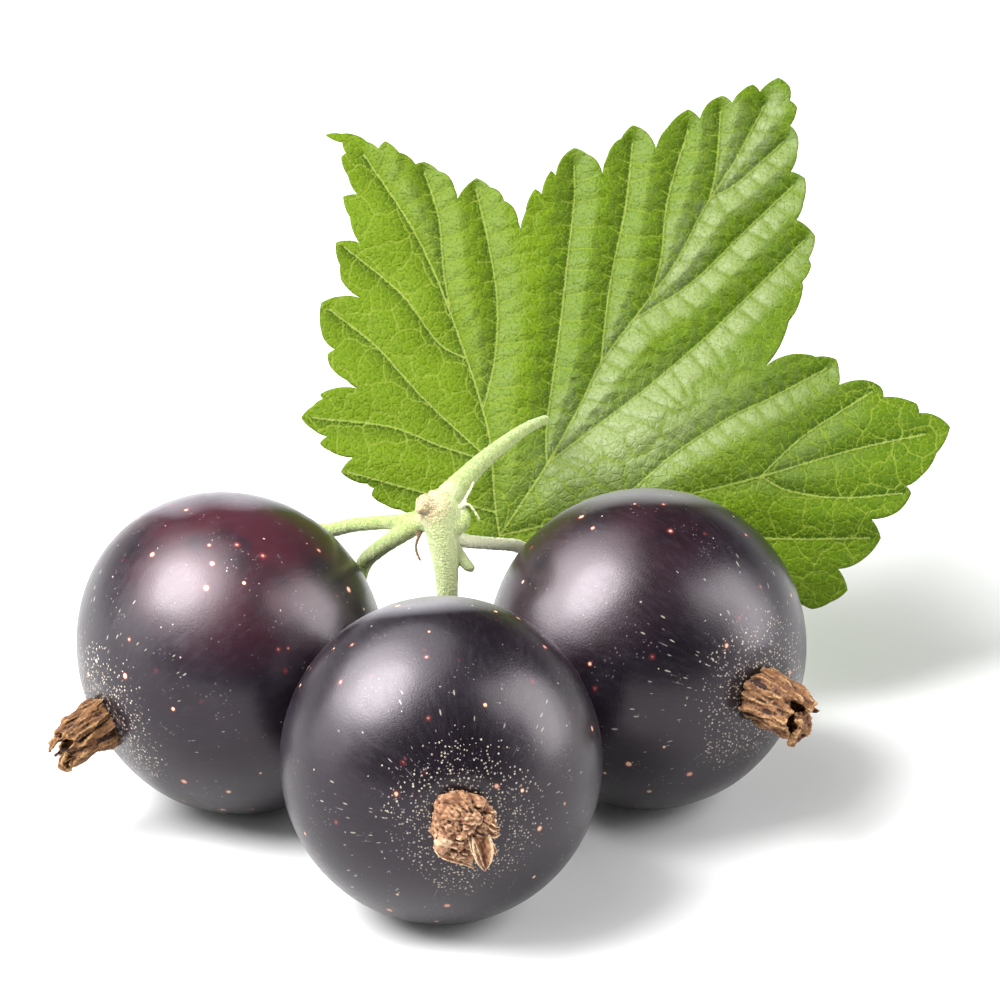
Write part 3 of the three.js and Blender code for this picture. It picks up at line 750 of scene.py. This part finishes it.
def leaf_upper():
    """Satin green with pale veins, painted sheen on the lit sides of the veins and the blade's foot, and
    painted shade on their other sides. The left lobe is the yellowest and the right lobe the darkest.
    """
    material, tree, shader = new_material("leaf_upper", IOR=1.42)
    place = attribute(tree, "flat", "Vector")
    parts = add(tree, "ShaderNodeSeparateXYZ", {0: place}).outputs
    cloud = noise(tree, place, 0.35, 4)
    wander = add(tree, "ShaderNodeTexNoise", {"Vector": place, "Scale": 2.5, "Detail": 2}).outputs["Color"]
    bent = add(tree, "ShaderNodeVectorMath", {0: wander, 1: (0.3, 0.3, 0.3)}, operation="MULTIPLY").outputs[0]
    bent = add(tree, "ShaderNodeVectorMath", {0: place, 1: bent}, operation="ADD").outputs[0]
    web = cell_borders(tree, bent, 2.9)
    islands = add(tree, "ShaderNodeTexVoronoi", {"Vector": bent, "Scale": 2.9}, voronoi_dimensions="2D")
    island = add(tree, "ShaderNodeSeparateColor", {"Color": islands.outputs["Color"]}).outputs[0]
    pores = noise(tree, place, 9, 3)

    shift = plus(tree, parts["X"], scaled(tree, cloud, 5, -2.5))
    facing = attribute(tree, "facing")
    base = blend(tree, fade(tree, shift, -3, 1.5), (0.108, 0.178, 0.006, 1), (0.088, 0.154, 0.004, 1))
    base = blend(tree, fade(tree, shift, 6, 13), base, (0.071, 0.130, 0.006, 1))
    base = blend(tree, times(tree, island, 0.35), base, (0.125, 0.196, 0.007, 1))
    base = blend(tree, times(tree, fade(tree, pores, 0.5, 0.32), 0.6), base, (0.036, 0.080, 0.001, 1))
    # Painted sheen: pale green on the lit sides of the veins and on the blade's foot.
    sheen = times(tree, attribute(tree, "sheen"), fade(tree, pores, 0.1, 0.55))
    base = blend(tree, times(tree, sheen, 0.85), base, (0.225, 0.274, 0.118, 1))
    # Painted shade: dark green on each vein's shaded left side and along the fine veins.
    base = blend(tree, times(tree, attribute(tree, "hollow"), 0.8), base, (0.014, 0.038, 0.001, 1))
    thread = times(tree, fade(tree, web, 0.13, 0.03), fade(tree, pores, 0.35, 0.6))
    thread = times(tree, thread, scaled(tree, facing, -0.2, 0.65))
    base = blend(tree, thread, base, (0.150, 0.212, 0.014, 1))
    veined = times(tree, fade(tree, attribute(tree, "net"), 0.35, 0.9), scaled(tree, facing, -0.5, 0.75))
    base = blend(tree, veined, base, (0.175, 0.235, 0.026, 1))
    ribbed = times(tree, fade(tree, attribute(tree, "rib"), 0.3, 0.8), scaled(tree, facing, -0.3, 0.85))
    base = blend(tree, ribbed, base, (0.225, 0.285, 0.055, 1))
    gloss = fade(tree, shift, -5, 3)
    tree.links.new(scaled(tree, gloss, -0.14, 0.56), shader.inputs["Roughness"])
    tree.links.new(scaled(tree, sheen, 0.2, 0.1), shader.inputs["Specular IOR Level"])
    relief = plus(tree, times(tree, fade(tree, web, 0.0, 0.2), 0.6), times(tree, pores, 0.8))
    relief = times(tree, relief, scaled(tree, facing, -0.2, 1))
    finish(tree, shader, base, relief, 0.7, 0.05)
    return material


def leaf_under():
    """The matt underside, paler than the upper face, with almost white ribs."""
    material, tree, shader = new_material("leaf_under", Roughness=0.75)
    place = attribute(tree, "flat", "Vector")
    web = cell_borders(tree, place, 2.6)
    base = blend(tree, fade(tree, web, 0.06, 0.02), (0.24, 0.38, 0.12, 1), (0.42, 0.54, 0.26, 1))
    base = blend(tree, fade(tree, attribute(tree, "rib"), 0.3, 0.8), base, (0.62, 0.70, 0.40, 1))
    finish(tree, shader, base, fade(tree, web, 0.12, 0.0), 0.5, 0.05)
    return material


blade = bpy.data.objects.new("leaf_blade", blade_mesh())
bpy.context.scene.collection.objects.link(blade)
blade.data.materials.append(leaf_upper())
blade.data.materials.append(leaf_under())
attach(blade, "root")
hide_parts("leaf")


# The stem is soft green wood, grown as one: a knuckle where every stalk meets, three berry stalks, the picked
# end, the leaf stalk, and the knuckle's scar, bud scales, bract and threads. After x, y and z comes a radius.
front, left, right = (BERRIES[place] for place in ("front", "left", "right"))


def stalk_end(berry, *radii):
    return [(*beyond(berry, -1, distance), radius) for distance, radius in zip((0.6, -0.1), radii)]


STALKS = {
    "front": [(-0.1, 9.7, 14.0, 0.42), (-0.15, 9.35, 13.4, 0.7), (-0.04, 9.1, 12.5, 0.66),
              (0.12, 8.85, 11.3, 0.54), (0.19, 8.75, 10.2, 0.46), (0.15, 8.7, 9.0, 0.42),
              (-0.4, 8.2, 7.5, 0.4), *stalk_end(front, 0.38, 0.4)],
    "left": [(-0.1, 9.3, 13.1, 0.5), (-0.85, 9.5, 12.7, 0.42), (-1.75, 10.35, 11.7, 0.37),
             (-2.65, 11.85, 10.35, 0.35), (-3.25, 12.85, 9.25, 0.34), (-3.62, 12.6, 8.25, 0.36)],
    "right": [(0.1, 9.15, 12.6, 0.42), (0.8, 9.9, 11.7, 0.3), (1.95, 12.0, 10.55, 0.27),
              (3.2, 14.5, 9.2, 0.28), (3.55, 15.6, 8.0, 0.3), *stalk_end(right, 0.32, 0.38)],
    "picked": [(-0.1, 9.3, 13.1, 0.45), (-1.4, 10.25, 12.4, 0.34), (-2.35, 11.5, 11.75, 0.3),
               (-3.65, 13.05, 10.9, 0.3), (-4.7, 14.45, 10.0, 0.31), (-5.6, 15.7, 9.35, 0.34)],
    "leaf": [(-0.1, 9.25, 13.4, 0.66), (0.3, 10.2, 13.55, 0.56), (0.85, 11.7, 13.55, 0.46),
             (1.6, 13.6, 13.5, 0.38), (2.6, 16.0, 13.3, 0.31), (3.55, 18.4, 12.9, 0.25),
             (4.28, 20.3, 12.4, 0.2)],
    "scar": [(-0.4, 9.2, 13.5, 0.5), (-0.9, 9.0, 13.8, 0.38)],
    "scale": [(0.3, 9.1, 12.4, 0.4), (0.85, 9.3, 12.9, 0.34), (0.8, 9.65, 13.35, 0.14)],
    "bract": [(0.25, 9.15, 12.3, 0.2), (0.72, 8.95, 11.55, 0.2), (1.0, 8.8, 11.1, 0.24),
              (1.3, 8.65, 10.95, 0.14)],
    "tendril": [(0.62, 9.35, 13.2, 0.14), (0.85, 9.4, 13.6, 0.085), (1.1, 9.6, 14.0, 0.07),
                (1.3, 9.85, 14.35, 0.06)],
    "wisp": [(0.8, 9.3, 13.5, 0.09), (1.1, 9.35, 13.55, 0.065), (1.4, 9.3, 13.15, 0.06),
             (1.55, 9.3, 12.85, 0.055)],
    "thread": [(-0.7, 9.45, 12.8, 0.14), (-1.07, 9.1, 11.8, 0.07), (-0.88, 8.9, 11.2, 0.06)],
}


def round_stalk(name, points):
    bpy.ops.curve.primitive_nurbs_path_add()
    path = bpy.context.object
    path.name = name
    spline = path.data.splines[0]
    spline.type = "POLY"
    line = smooth_line(points, 0.12)
    spline.points.add(len(line) - len(spline.points))
    for knot, (x, y, z, radius) in zip(spline.points, line):
        knot.co = (x * MM, y * MM, z * MM, 1)
        knot.radius = radius
    path.data.bevel_depth = MM
    path.data.bevel_resolution = 6
    path.data.use_fill_caps = True
    bpy.ops.object.convert(target="MESH")
    return bpy.context.object


def normals_of(mesh):
    normals = np.empty(len(mesh.vertices) * 3, np.float32)
    mesh.vertex_normals.foreach_get("vector", normals)
    return normals.reshape(-1, 3)


def joined(name, parts):
    bpy.ops.object.select_all(action="DESELECT")
    for part in parts:
        part.select_set(True)
    bpy.context.view_layer.objects.active = parts[0]
    bpy.ops.object.join()
    parts[0].name = name
    return parts[0]


def finish_modifiers(piece, *modifiers):
    """Adds each modifier with its settings and applies it."""
    bpy.context.view_layer.objects.active = piece
    for kind, settings in modifiers:
        made = piece.modifiers.new(kind.lower(), kind)
        for key, value in settings.items():
            setattr(made, key, value)
        bpy.ops.object.modifier_apply(modifier=made.name)


def close_to(co, name, reach):
    """1 on the named stalk's line, falling to 0 at this distance from it."""
    line = smooth_line(STALKS[name], 0.1)[:, :3]
    least = np.full(len(co), np.inf)
    for p in line:
        least = np.minimum(least, np.linalg.norm(co - p, axis=1))
    return np.clip(1 - least / reach, 0, 1)


def green_stem():
    """Pale yellow-green, mottled with down, pink at the scar and brown on the dried threads."""
    material, tree, shader = new_material("green_stem", Roughness=0.62, Sheen_Weight=0.35,
                                          Sheen_Roughness=0.5)
    coordinate = add(tree, "ShaderNodeTexCoord").outputs["Object"]
    stretched = add(tree, "ShaderNodeMapping", {"Vector": coordinate, "Scale": (1, 1, 0.45)}).outputs[0]
    mottle = noise(tree, stretched, 5200, 3)
    down = noise(tree, coordinate, 14000, 2)
    base = blend(tree, fade(tree, mottle, 0.35, 0.65), (0.22, 0.34, 0.04, 1), (0.38, 0.47, 0.12, 1))
    base = blend(tree, times(tree, fade(tree, down, 0.48, 0.59), 0.65), base, (0.60, 0.65, 0.32, 1))
    # Paler stalks; on the right stalk the paleness is partly painted light.
    base = blend(tree, attribute(tree, "pale"), base, (0.86, 0.89, 0.58, 1))
    raw = blend(tree, fade(tree, down, 0.42, 0.58), (0.42, 0.17, 0.11, 1), (0.66, 0.46, 0.34, 1))
    base = blend(tree, attribute(tree, "pink"), base, raw)
    base = blend(tree, attribute(tree, "grey"), base, (0.26, 0.30, 0.14, 1))
    base = blend(tree, attribute(tree, "brown"), base, (0.22, 0.12, 0.05, 1))
    finish(tree, shader, base, down, 0.8, 0.09)
    return material


def grown_stem():
    piece = joined("green_stem", [round_stalk(f"stalk_{name}", points) for name, points in STALKS.items()])
    finish_modifiers(piece, ("REMESH", {"mode": "VOXEL", "voxel_size": 0.055 * MM}),
                     ("SMOOTH", {"factor": 0.5, "iterations": 6}))
    co = vertices_of(piece.data) / MM
    lengthwise = ripples(co * (1, 1, 0.25), 0.3, 81)
    swell = 0.007 * lengthwise + 0.006 * ripples(co, 0.2, 82)
    scar = close_to(co, "scar", 0.85)
    swell = swell + 0.045 * scar * ripples(co, 0.22, 84)
    co = co + normals_of(piece.data) * swell[:, None]
    move_vertices(piece.data, co * MM)
    bpy.ops.object.shade_smooth()
    keep_value(piece.data, "pink", np.clip(scar**0.5 * (0.8 + 0.3 * ripples(co, 0.25, 83)), 0, 1))
    keep_value(piece.data, "brown", np.clip(3 * close_to(co, "thread", 0.22), 0, 1))
    keep_value(piece.data, "grey", np.clip(2 * close_to(co, "bract", 0.4) - 0.3, 0, 1))
    # The right stalk's paleness is partly its own colour and partly painted light that lifts the shade it lies
    # in.
    pale = {"tendril": (0.3, 0.7), "wisp": (0.3, 0.7), "front": (1.2, 0.3), "right": (0.6, 1.0)}
    keep_value(piece.data, "pale", np.max([depth * np.clip(2 * close_to(co, name, reach), 0, 1)
                                           for name, (reach, depth) in pale.items()], axis=0))
    return piece


stem = grown_stem()
stem.data.materials.append(green_stem())
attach(stem, "root")
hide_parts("stem")


# The dried calyxes are what is left of the flowers, a withered papery tube on each berry. The side ones are
# fluted tubes with a ragged end and a hooked sepal. The front one is crumpled, and is seen end-on.
def seat_of(berry):
    """The middle of the calyx's foot, and its sideways, upward and outward directions."""
    out = berry["axis"]
    across = (RIGHT - RIGHT.dot(out) * out).normalized()
    if abs(out.dot(RIGHT)) > 0.5:
        across = UP.cross(out).normalized()
    return beyond(berry, 1, 0), across, out.cross(across), out


def set_on(berry, points):
    """Turns points given as sideways, up and out from the calyx's foot into the sprig's frame."""
    seat, *directions = seat_of(berry)
    return np.array(seat) + np.asarray(points, float) @ np.array([list(d) for d in directions])


def husk_tube(berry, foot, waist, rim, length, droop, slant, seed):
    """A fluted tube on the berry's axis, rolled from a grid and given a papery wall."""
    bpy.ops.mesh.primitive_grid_add(x_subdivisions=140, y_subdivisions=60, size=2)
    piece = bpy.context.object
    sheet = vertices_of(piece.data)
    around = math.pi * sheet[:, 0]
    along = (sheet[:, 1] + 1) / 2
    turn = np.column_stack([np.cos(around), np.sin(around)])
    fold = np.abs(np.sin(2.5 * around + 0.9 * along + seed))
    crease = np.abs(np.sin(6.5 * around + 0.8 * np.sin(4 * along) + 2 * seed))
    radius = np.interp(along, [0, 0.12, 0.45, 0.75, 1], [foot, foot, waist, waist * 0.96, rim])
    wrinkles = ripples(np.column_stack([turn * 1.1, along * 0.5]), 0.22, seed)
    radius = radius * (0.78 + 0.3 * fold * (0.45 + 0.55 * along) + 0.11 * crease + 0.04 * wrinkles)
    ragged = 1 + along**3 * (0.12 * ripples(turn, 0.8, seed + 1) + slant * turn[:, 1])
    out = along * length * ragged - 0.15
    placed = set_on(berry, np.column_stack([turn * radius[:, None], out]))
    placed[:, 2] -= droop * along**2
    move_vertices(piece.data, placed * MM)
    bpy.ops.object.mode_set(mode="EDIT")
    bpy.ops.mesh.select_all(action="SELECT")
    bpy.ops.mesh.remove_doubles(threshold=0.002 * MM)
    bpy.ops.mesh.normals_make_consistent(inside=False)
    bpy.ops.object.mode_set(mode="OBJECT")
    finish_modifiers(piece, ("SOLIDIFY", {"thickness": 0.16 * MM, "offset": -1}))
    return piece


def sepal(berry, points, cup=0.25, thickness=0.085):
    """A withered sepal along a line of sideways, up, out and half-width, creased along its middle."""
    line = smooth_line(points, 0.06)
    bpy.ops.mesh.primitive_grid_add(x_subdivisions=10, y_subdivisions=len(line) - 1, size=2)
    piece = bpy.context.object
    sheet = vertices_of(piece.data)
    row = np.rint((sheet[:, 1] + 1) / 2 * (len(line) - 1)).astype(int)
    ahead = np.gradient(line[:, :3], axis=0)
    ahead /= np.linalg.norm(ahead, axis=1)[:, None]
    sideways = np.cross(ahead, (0, 0.25, 1))
    sideways /= np.linalg.norm(sideways, axis=1)[:, None]
    face = np.cross(sideways, ahead)
    half = line[row, 3] * sheet[:, 0]
    bow = cup * line[row, 3] * np.abs(sheet[:, 0]) + 0.02 * np.sin(9 * sheet[:, 0] + row)
    co = line[row, :3] + sideways[row] * half[:, None] + face[row] * bow[:, None]
    move_vertices(piece.data, set_on(berry, co) * MM)
    finish_modifiers(piece, ("SOLIDIFY", {"thickness": thickness * MM, "offset": 0}))
    # Painted shade down the middle crease and painted highlight on the edges.
    from_crease = np.concatenate([np.abs(sheet[:, 0])] * 2)
    crease_shading = np.interp(from_crease, [0, 0.25, 0.5, 0.8, 1], [0.016, 0.004, 0.008, -0.02, -0.06])
    keep_value(piece.data, "hollow", crease_shading)
    return piece


def lump(berry, x, y, out, radius):
    bpy.ops.mesh.primitive_ico_sphere_add(subdivisions=3, radius=radius * MM)
    piece = bpy.context.object
    ball = vertices_of(piece.data) / MM * (1, 0.75, 1)
    move_vertices(piece.data, (set_on(berry, [(x, y, out)]) + ball) * MM)
    return piece


def hollows(mesh, rounds):
    """How deep each vertex lies below its surroundings, smoothed in this many rounds."""
    ends = np.empty(len(mesh.edges) * 2, np.int32)
    mesh.edges.foreach_get("vertices", ends)
    a, b = ends.reshape(-1, 2).T
    co = vertices_of(mesh) / MM
    count = np.bincount(np.concatenate([a, b]), minlength=len(co))[:, None]
    smooth = co
    for _ in range(rounds):
        total = np.column_stack([np.bincount(a, smooth[b, i], len(co)) + np.bincount(b, smooth[a, i], len(co))
                                 for i in range(3)])
        smooth = 0.4 * smooth + 0.6 * total / count
    return ((smooth - co) * normals_of(mesh)).sum(axis=1)


def withered(name, berry, parts, voxel, seed, stretch, depth, fold=0.75, grain=0.012, painted_pits=()):
    """Grows the parts together into one crumpled skin. A stretch under 1 draws its creases out along the
    berry's axis. A pit is a spot of painted shade that stands in for a small hole, given as its sideways and
    upward place and its size."""
    piece = joined(name, parts)
    finish_modifiers(piece, ("REMESH", {"mode": "VOXEL", "voxel_size": voxel * MM}),
                     ("SMOOTH", {"factor": 0.5, "iterations": 1}))
    co = vertices_of(piece.data) / MM
    seat, *directions = seat_of(berry)
    local = (co - np.array(seat)) @ np.array([list(d) for d in directions]).T * (1, 1, stretch)
    creased = 0.5 - np.abs(ripples(local, fold, seed))
    creased += 0.5 * (0.5 - np.abs(ripples(local, 0.48 * fold, seed + 1)))
    swell = depth * creased + grain * ripples(co, 0.14, seed + 2)
    move_vertices(piece.data, (co + normals_of(piece.data) * swell[:, None]) * MM)
    bpy.ops.object.shade_smooth()
    for old in list(piece.data.attributes):
        if old.name == "hollow":
            piece.data.attributes.remove(old)
    # Painted shading by how deep each point lies: dark in the creases and at each pit, pale on the ridges.
    hollow = hollows(piece.data, rounds=14)
    for x, y, size in painted_pits:
        hollow += 0.05 * bell(np.hypot(local[:, 0] - x, local[:, 1] - y), size)
    keep_value(piece.data, "hollow", hollow)
    return piece


def dried_husk():
    """Brown withered tissue, with painted highlight in ochre on the ridges and painted shade, nearly black, in
    the creases.
    """
    material, tree, shader = new_material("dried_husk", Roughness=0.7, IOR=1.4)
    coordinate = add(tree, "ShaderNodeTexCoord").outputs["Object"]
    mottle = noise(tree, coordinate, 3500, 4)
    fibre = noise(tree, coordinate, 11000, 3)
    hollow = attribute(tree, "hollow")
    pale = attribute(tree, "pale")
    base = blend(tree, fade(tree, mottle, 0.35, 0.65), (0.11, 0.045, 0.018, 1), (0.22, 0.10, 0.035, 1))
    tan = blend(tree, fade(tree, mottle, 0.38, 0.62), (0.20, 0.074, 0.036, 1), (0.44, 0.24, 0.13, 1))
    base = blend(tree, pale, base, tan)
    # Painted highlight on the ridges and painted shade, nearly black, in the creases.
    ridge = blend(tree, pale, (0.40, 0.23, 0.09, 1), (0.64, 0.47, 0.30, 1))
    base = blend(tree, fade(tree, hollow, -0.008, -0.045), base, ridge)
    base = blend(tree, fade(tree, hollow, 0.002, 0.03), base, (0.022, 0.008, 0.005, 1))
    dark_fibre = fade(tree, fibre, scaled(tree, pale, 0.08, 0.40), 0.28)
    base = blend(tree, dark_fibre, base, (0.05, 0.022, 0.012, 1))
    finish(tree, shader, base, fibre, 0.6, 0.06)
    return material


left_husk = withered("dried_calyx_left", left, [
    husk_tube(left, foot=1.12, waist=0.94, rim=0.72, length=2.1, droop=0.35, slant=-0.1, seed=31),
    sepal(left, [(0.0, -0.45, 1.9, 0.3), (0.05, -0.75, 2.35, 0.26), (0.1, -0.95, 2.3, 0.16),
                 (0.1, -1.2, 2.1, 0.07)]),
    sepal(left, [(0.0, 0.2, 2.0, 0.3), (0.0, 0.05, 2.4, 0.2), (0.0, -0.1, 2.65, 0.04)]),
], voxel=0.036, seed=41, stretch=0.22, depth=0.09)
right_husk = withered("dried_calyx_right", right, [
    husk_tube(right, foot=1.2, waist=1.05, rim=0.8, length=2.2, droop=0.3, slant=0.08, seed=33),
    sepal(right, [(0.0, 0.55, 1.8, 0.4), (0.0, 0.35, 2.3, 0.35), (0.0, 0.2, 2.7, 0.12)]),
    sepal(right, [(0.1, -0.1, 2.0, 0.4), (0.15, -0.5, 2.35, 0.38), (0.1, -1.0, 2.2, 0.3),
                  (0.0, -1.45, 1.95, 0.14)], thickness=0.2),
], voxel=0.038, seed=43, stretch=0.22, depth=0.09)
front_husk = withered("dried_calyx_front", front, [
    *(lump(front, x, y, out, radius) for x, y, out, radius in (
        (-0.1, 0.25, -0.1, 1.15), (0.1, -0.6, -0.1, 0.95), (-0.92, 0.30, 0.2, 0.36),
        (-0.45, 0.62, 0.25, 0.42), (0.0, 0.85, 0.2, 0.32), (0.52, 0.8, 0.25, 0.36), (0.85, 0.52, 0.2, 0.32),
        (0.05, 0.2, 0.55, 0.42), (-0.5, -0.05, 0.45, 0.38), (-0.95, -0.25, 0.25, 0.28),
        (-0.88, -0.77, 0.25, 0.30), (-0.45, -0.99, 0.3, 0.32), (-0.17, -0.55, 0.5, 0.34),
        (0.0, -1.2, 0.3, 0.26), (0.98, 0.05, 0.35, 0.32), (0.68, 0.35, 0.45, 0.30), (0.8, -0.45, 0.2, 0.3),
        (-0.6, 0.12, 0.62, 0.28), (0.02, 0.38, 0.74, 0.27), (-0.2, -0.12, 0.72, 0.24),
        (-0.78, -0.1, 0.5, 0.24), (0.45, 0.52, 0.62, 0.25), (-0.38, 0.5, 0.55, 0.27),
        (-0.75, -0.55, 0.45, 0.24), (-0.4, -0.62, 0.55, 0.22), (0.85, 0.2, 0.55, 0.2))),
], voxel=0.028, seed=45, stretch=1, depth=-0.13, fold=0.95, grain=0.022,
    painted_pits=((0.575, -0.07, 0.15), (0.22, 0.85, 0.09), (-0.3, -0.35, 0.08), (0.2, -0.45, 0.08)))
joined("dried_calyx_front", [
    front_husk,
    sepal(front, [(0.58, -0.35, 0.4, 0.36), (0.64, -0.8, 0.55, 0.40), (0.70, -1.3, 0.62, 0.28),
                  (0.77, -1.8, 0.6, 0.02)], cup=1.1, thickness=0.05),
    sepal(front, [(0.15, -0.25, 0.65, 0.08), (0.3, -0.7, 0.85, 0.13), (0.5, -1.25, 0.9, 0.10),
                  (0.75, -1.76, 0.66, 0.02)], cup=0.4, thickness=0.06),
    sepal(front, [(0.9, 0.2, 0.5, 0.1), (1.12, 0.05, 0.7, 0.11), (1.34, 0.05, 0.7, 0.05)], cup=0.9,
          thickness=0.05),
    sepal(front, [(0.95, -0.2, 0.5, 0.09), (1.12, -0.25, 0.65, 0.11), (1.32, -0.22, 0.6, 0.05)], cup=0.9,
          thickness=0.05),
    sepal(front, [(0.95, -0.5, 0.5, 0.06), (1.12, -0.9, 0.55, 0.08), (1.26, -1.25, 0.45, 0.02)], cup=0.6,
          thickness=0.05),
    sepal(front, [(-1.2, -0.75, 0.25, 0.05), (-0.95, -1.08, 0.4, 0.09), (-0.45, -1.3, 0.5, 0.09),
                  (0.05, -1.5, 0.5, 0.07), (0.35, -1.72, 0.5, 0.02)], cup=0.5, thickness=0.06),
])
bpy.ops.object.shade_smooth()
PALE_BELOW, PALE_FADE = 8.2, 1.6  # the height under which a pale husk grows paler, and over what drop
husk = dried_husk()
for place, piece, paleness in (("left", left_husk, 0), ("right", right_husk, 0.15), ("front", front_husk, 1)):
    below = np.clip((PALE_BELOW - vertices_of(piece.data)[:, 2] / MM) / PALE_FADE, 0, 1)
    keep_value(piece.data, "pale", paleness * (0.55 + 0.45 * below))
    piece.data.materials.append(husk)
    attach(piece, "root")
    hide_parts(f"calyx_{place}")
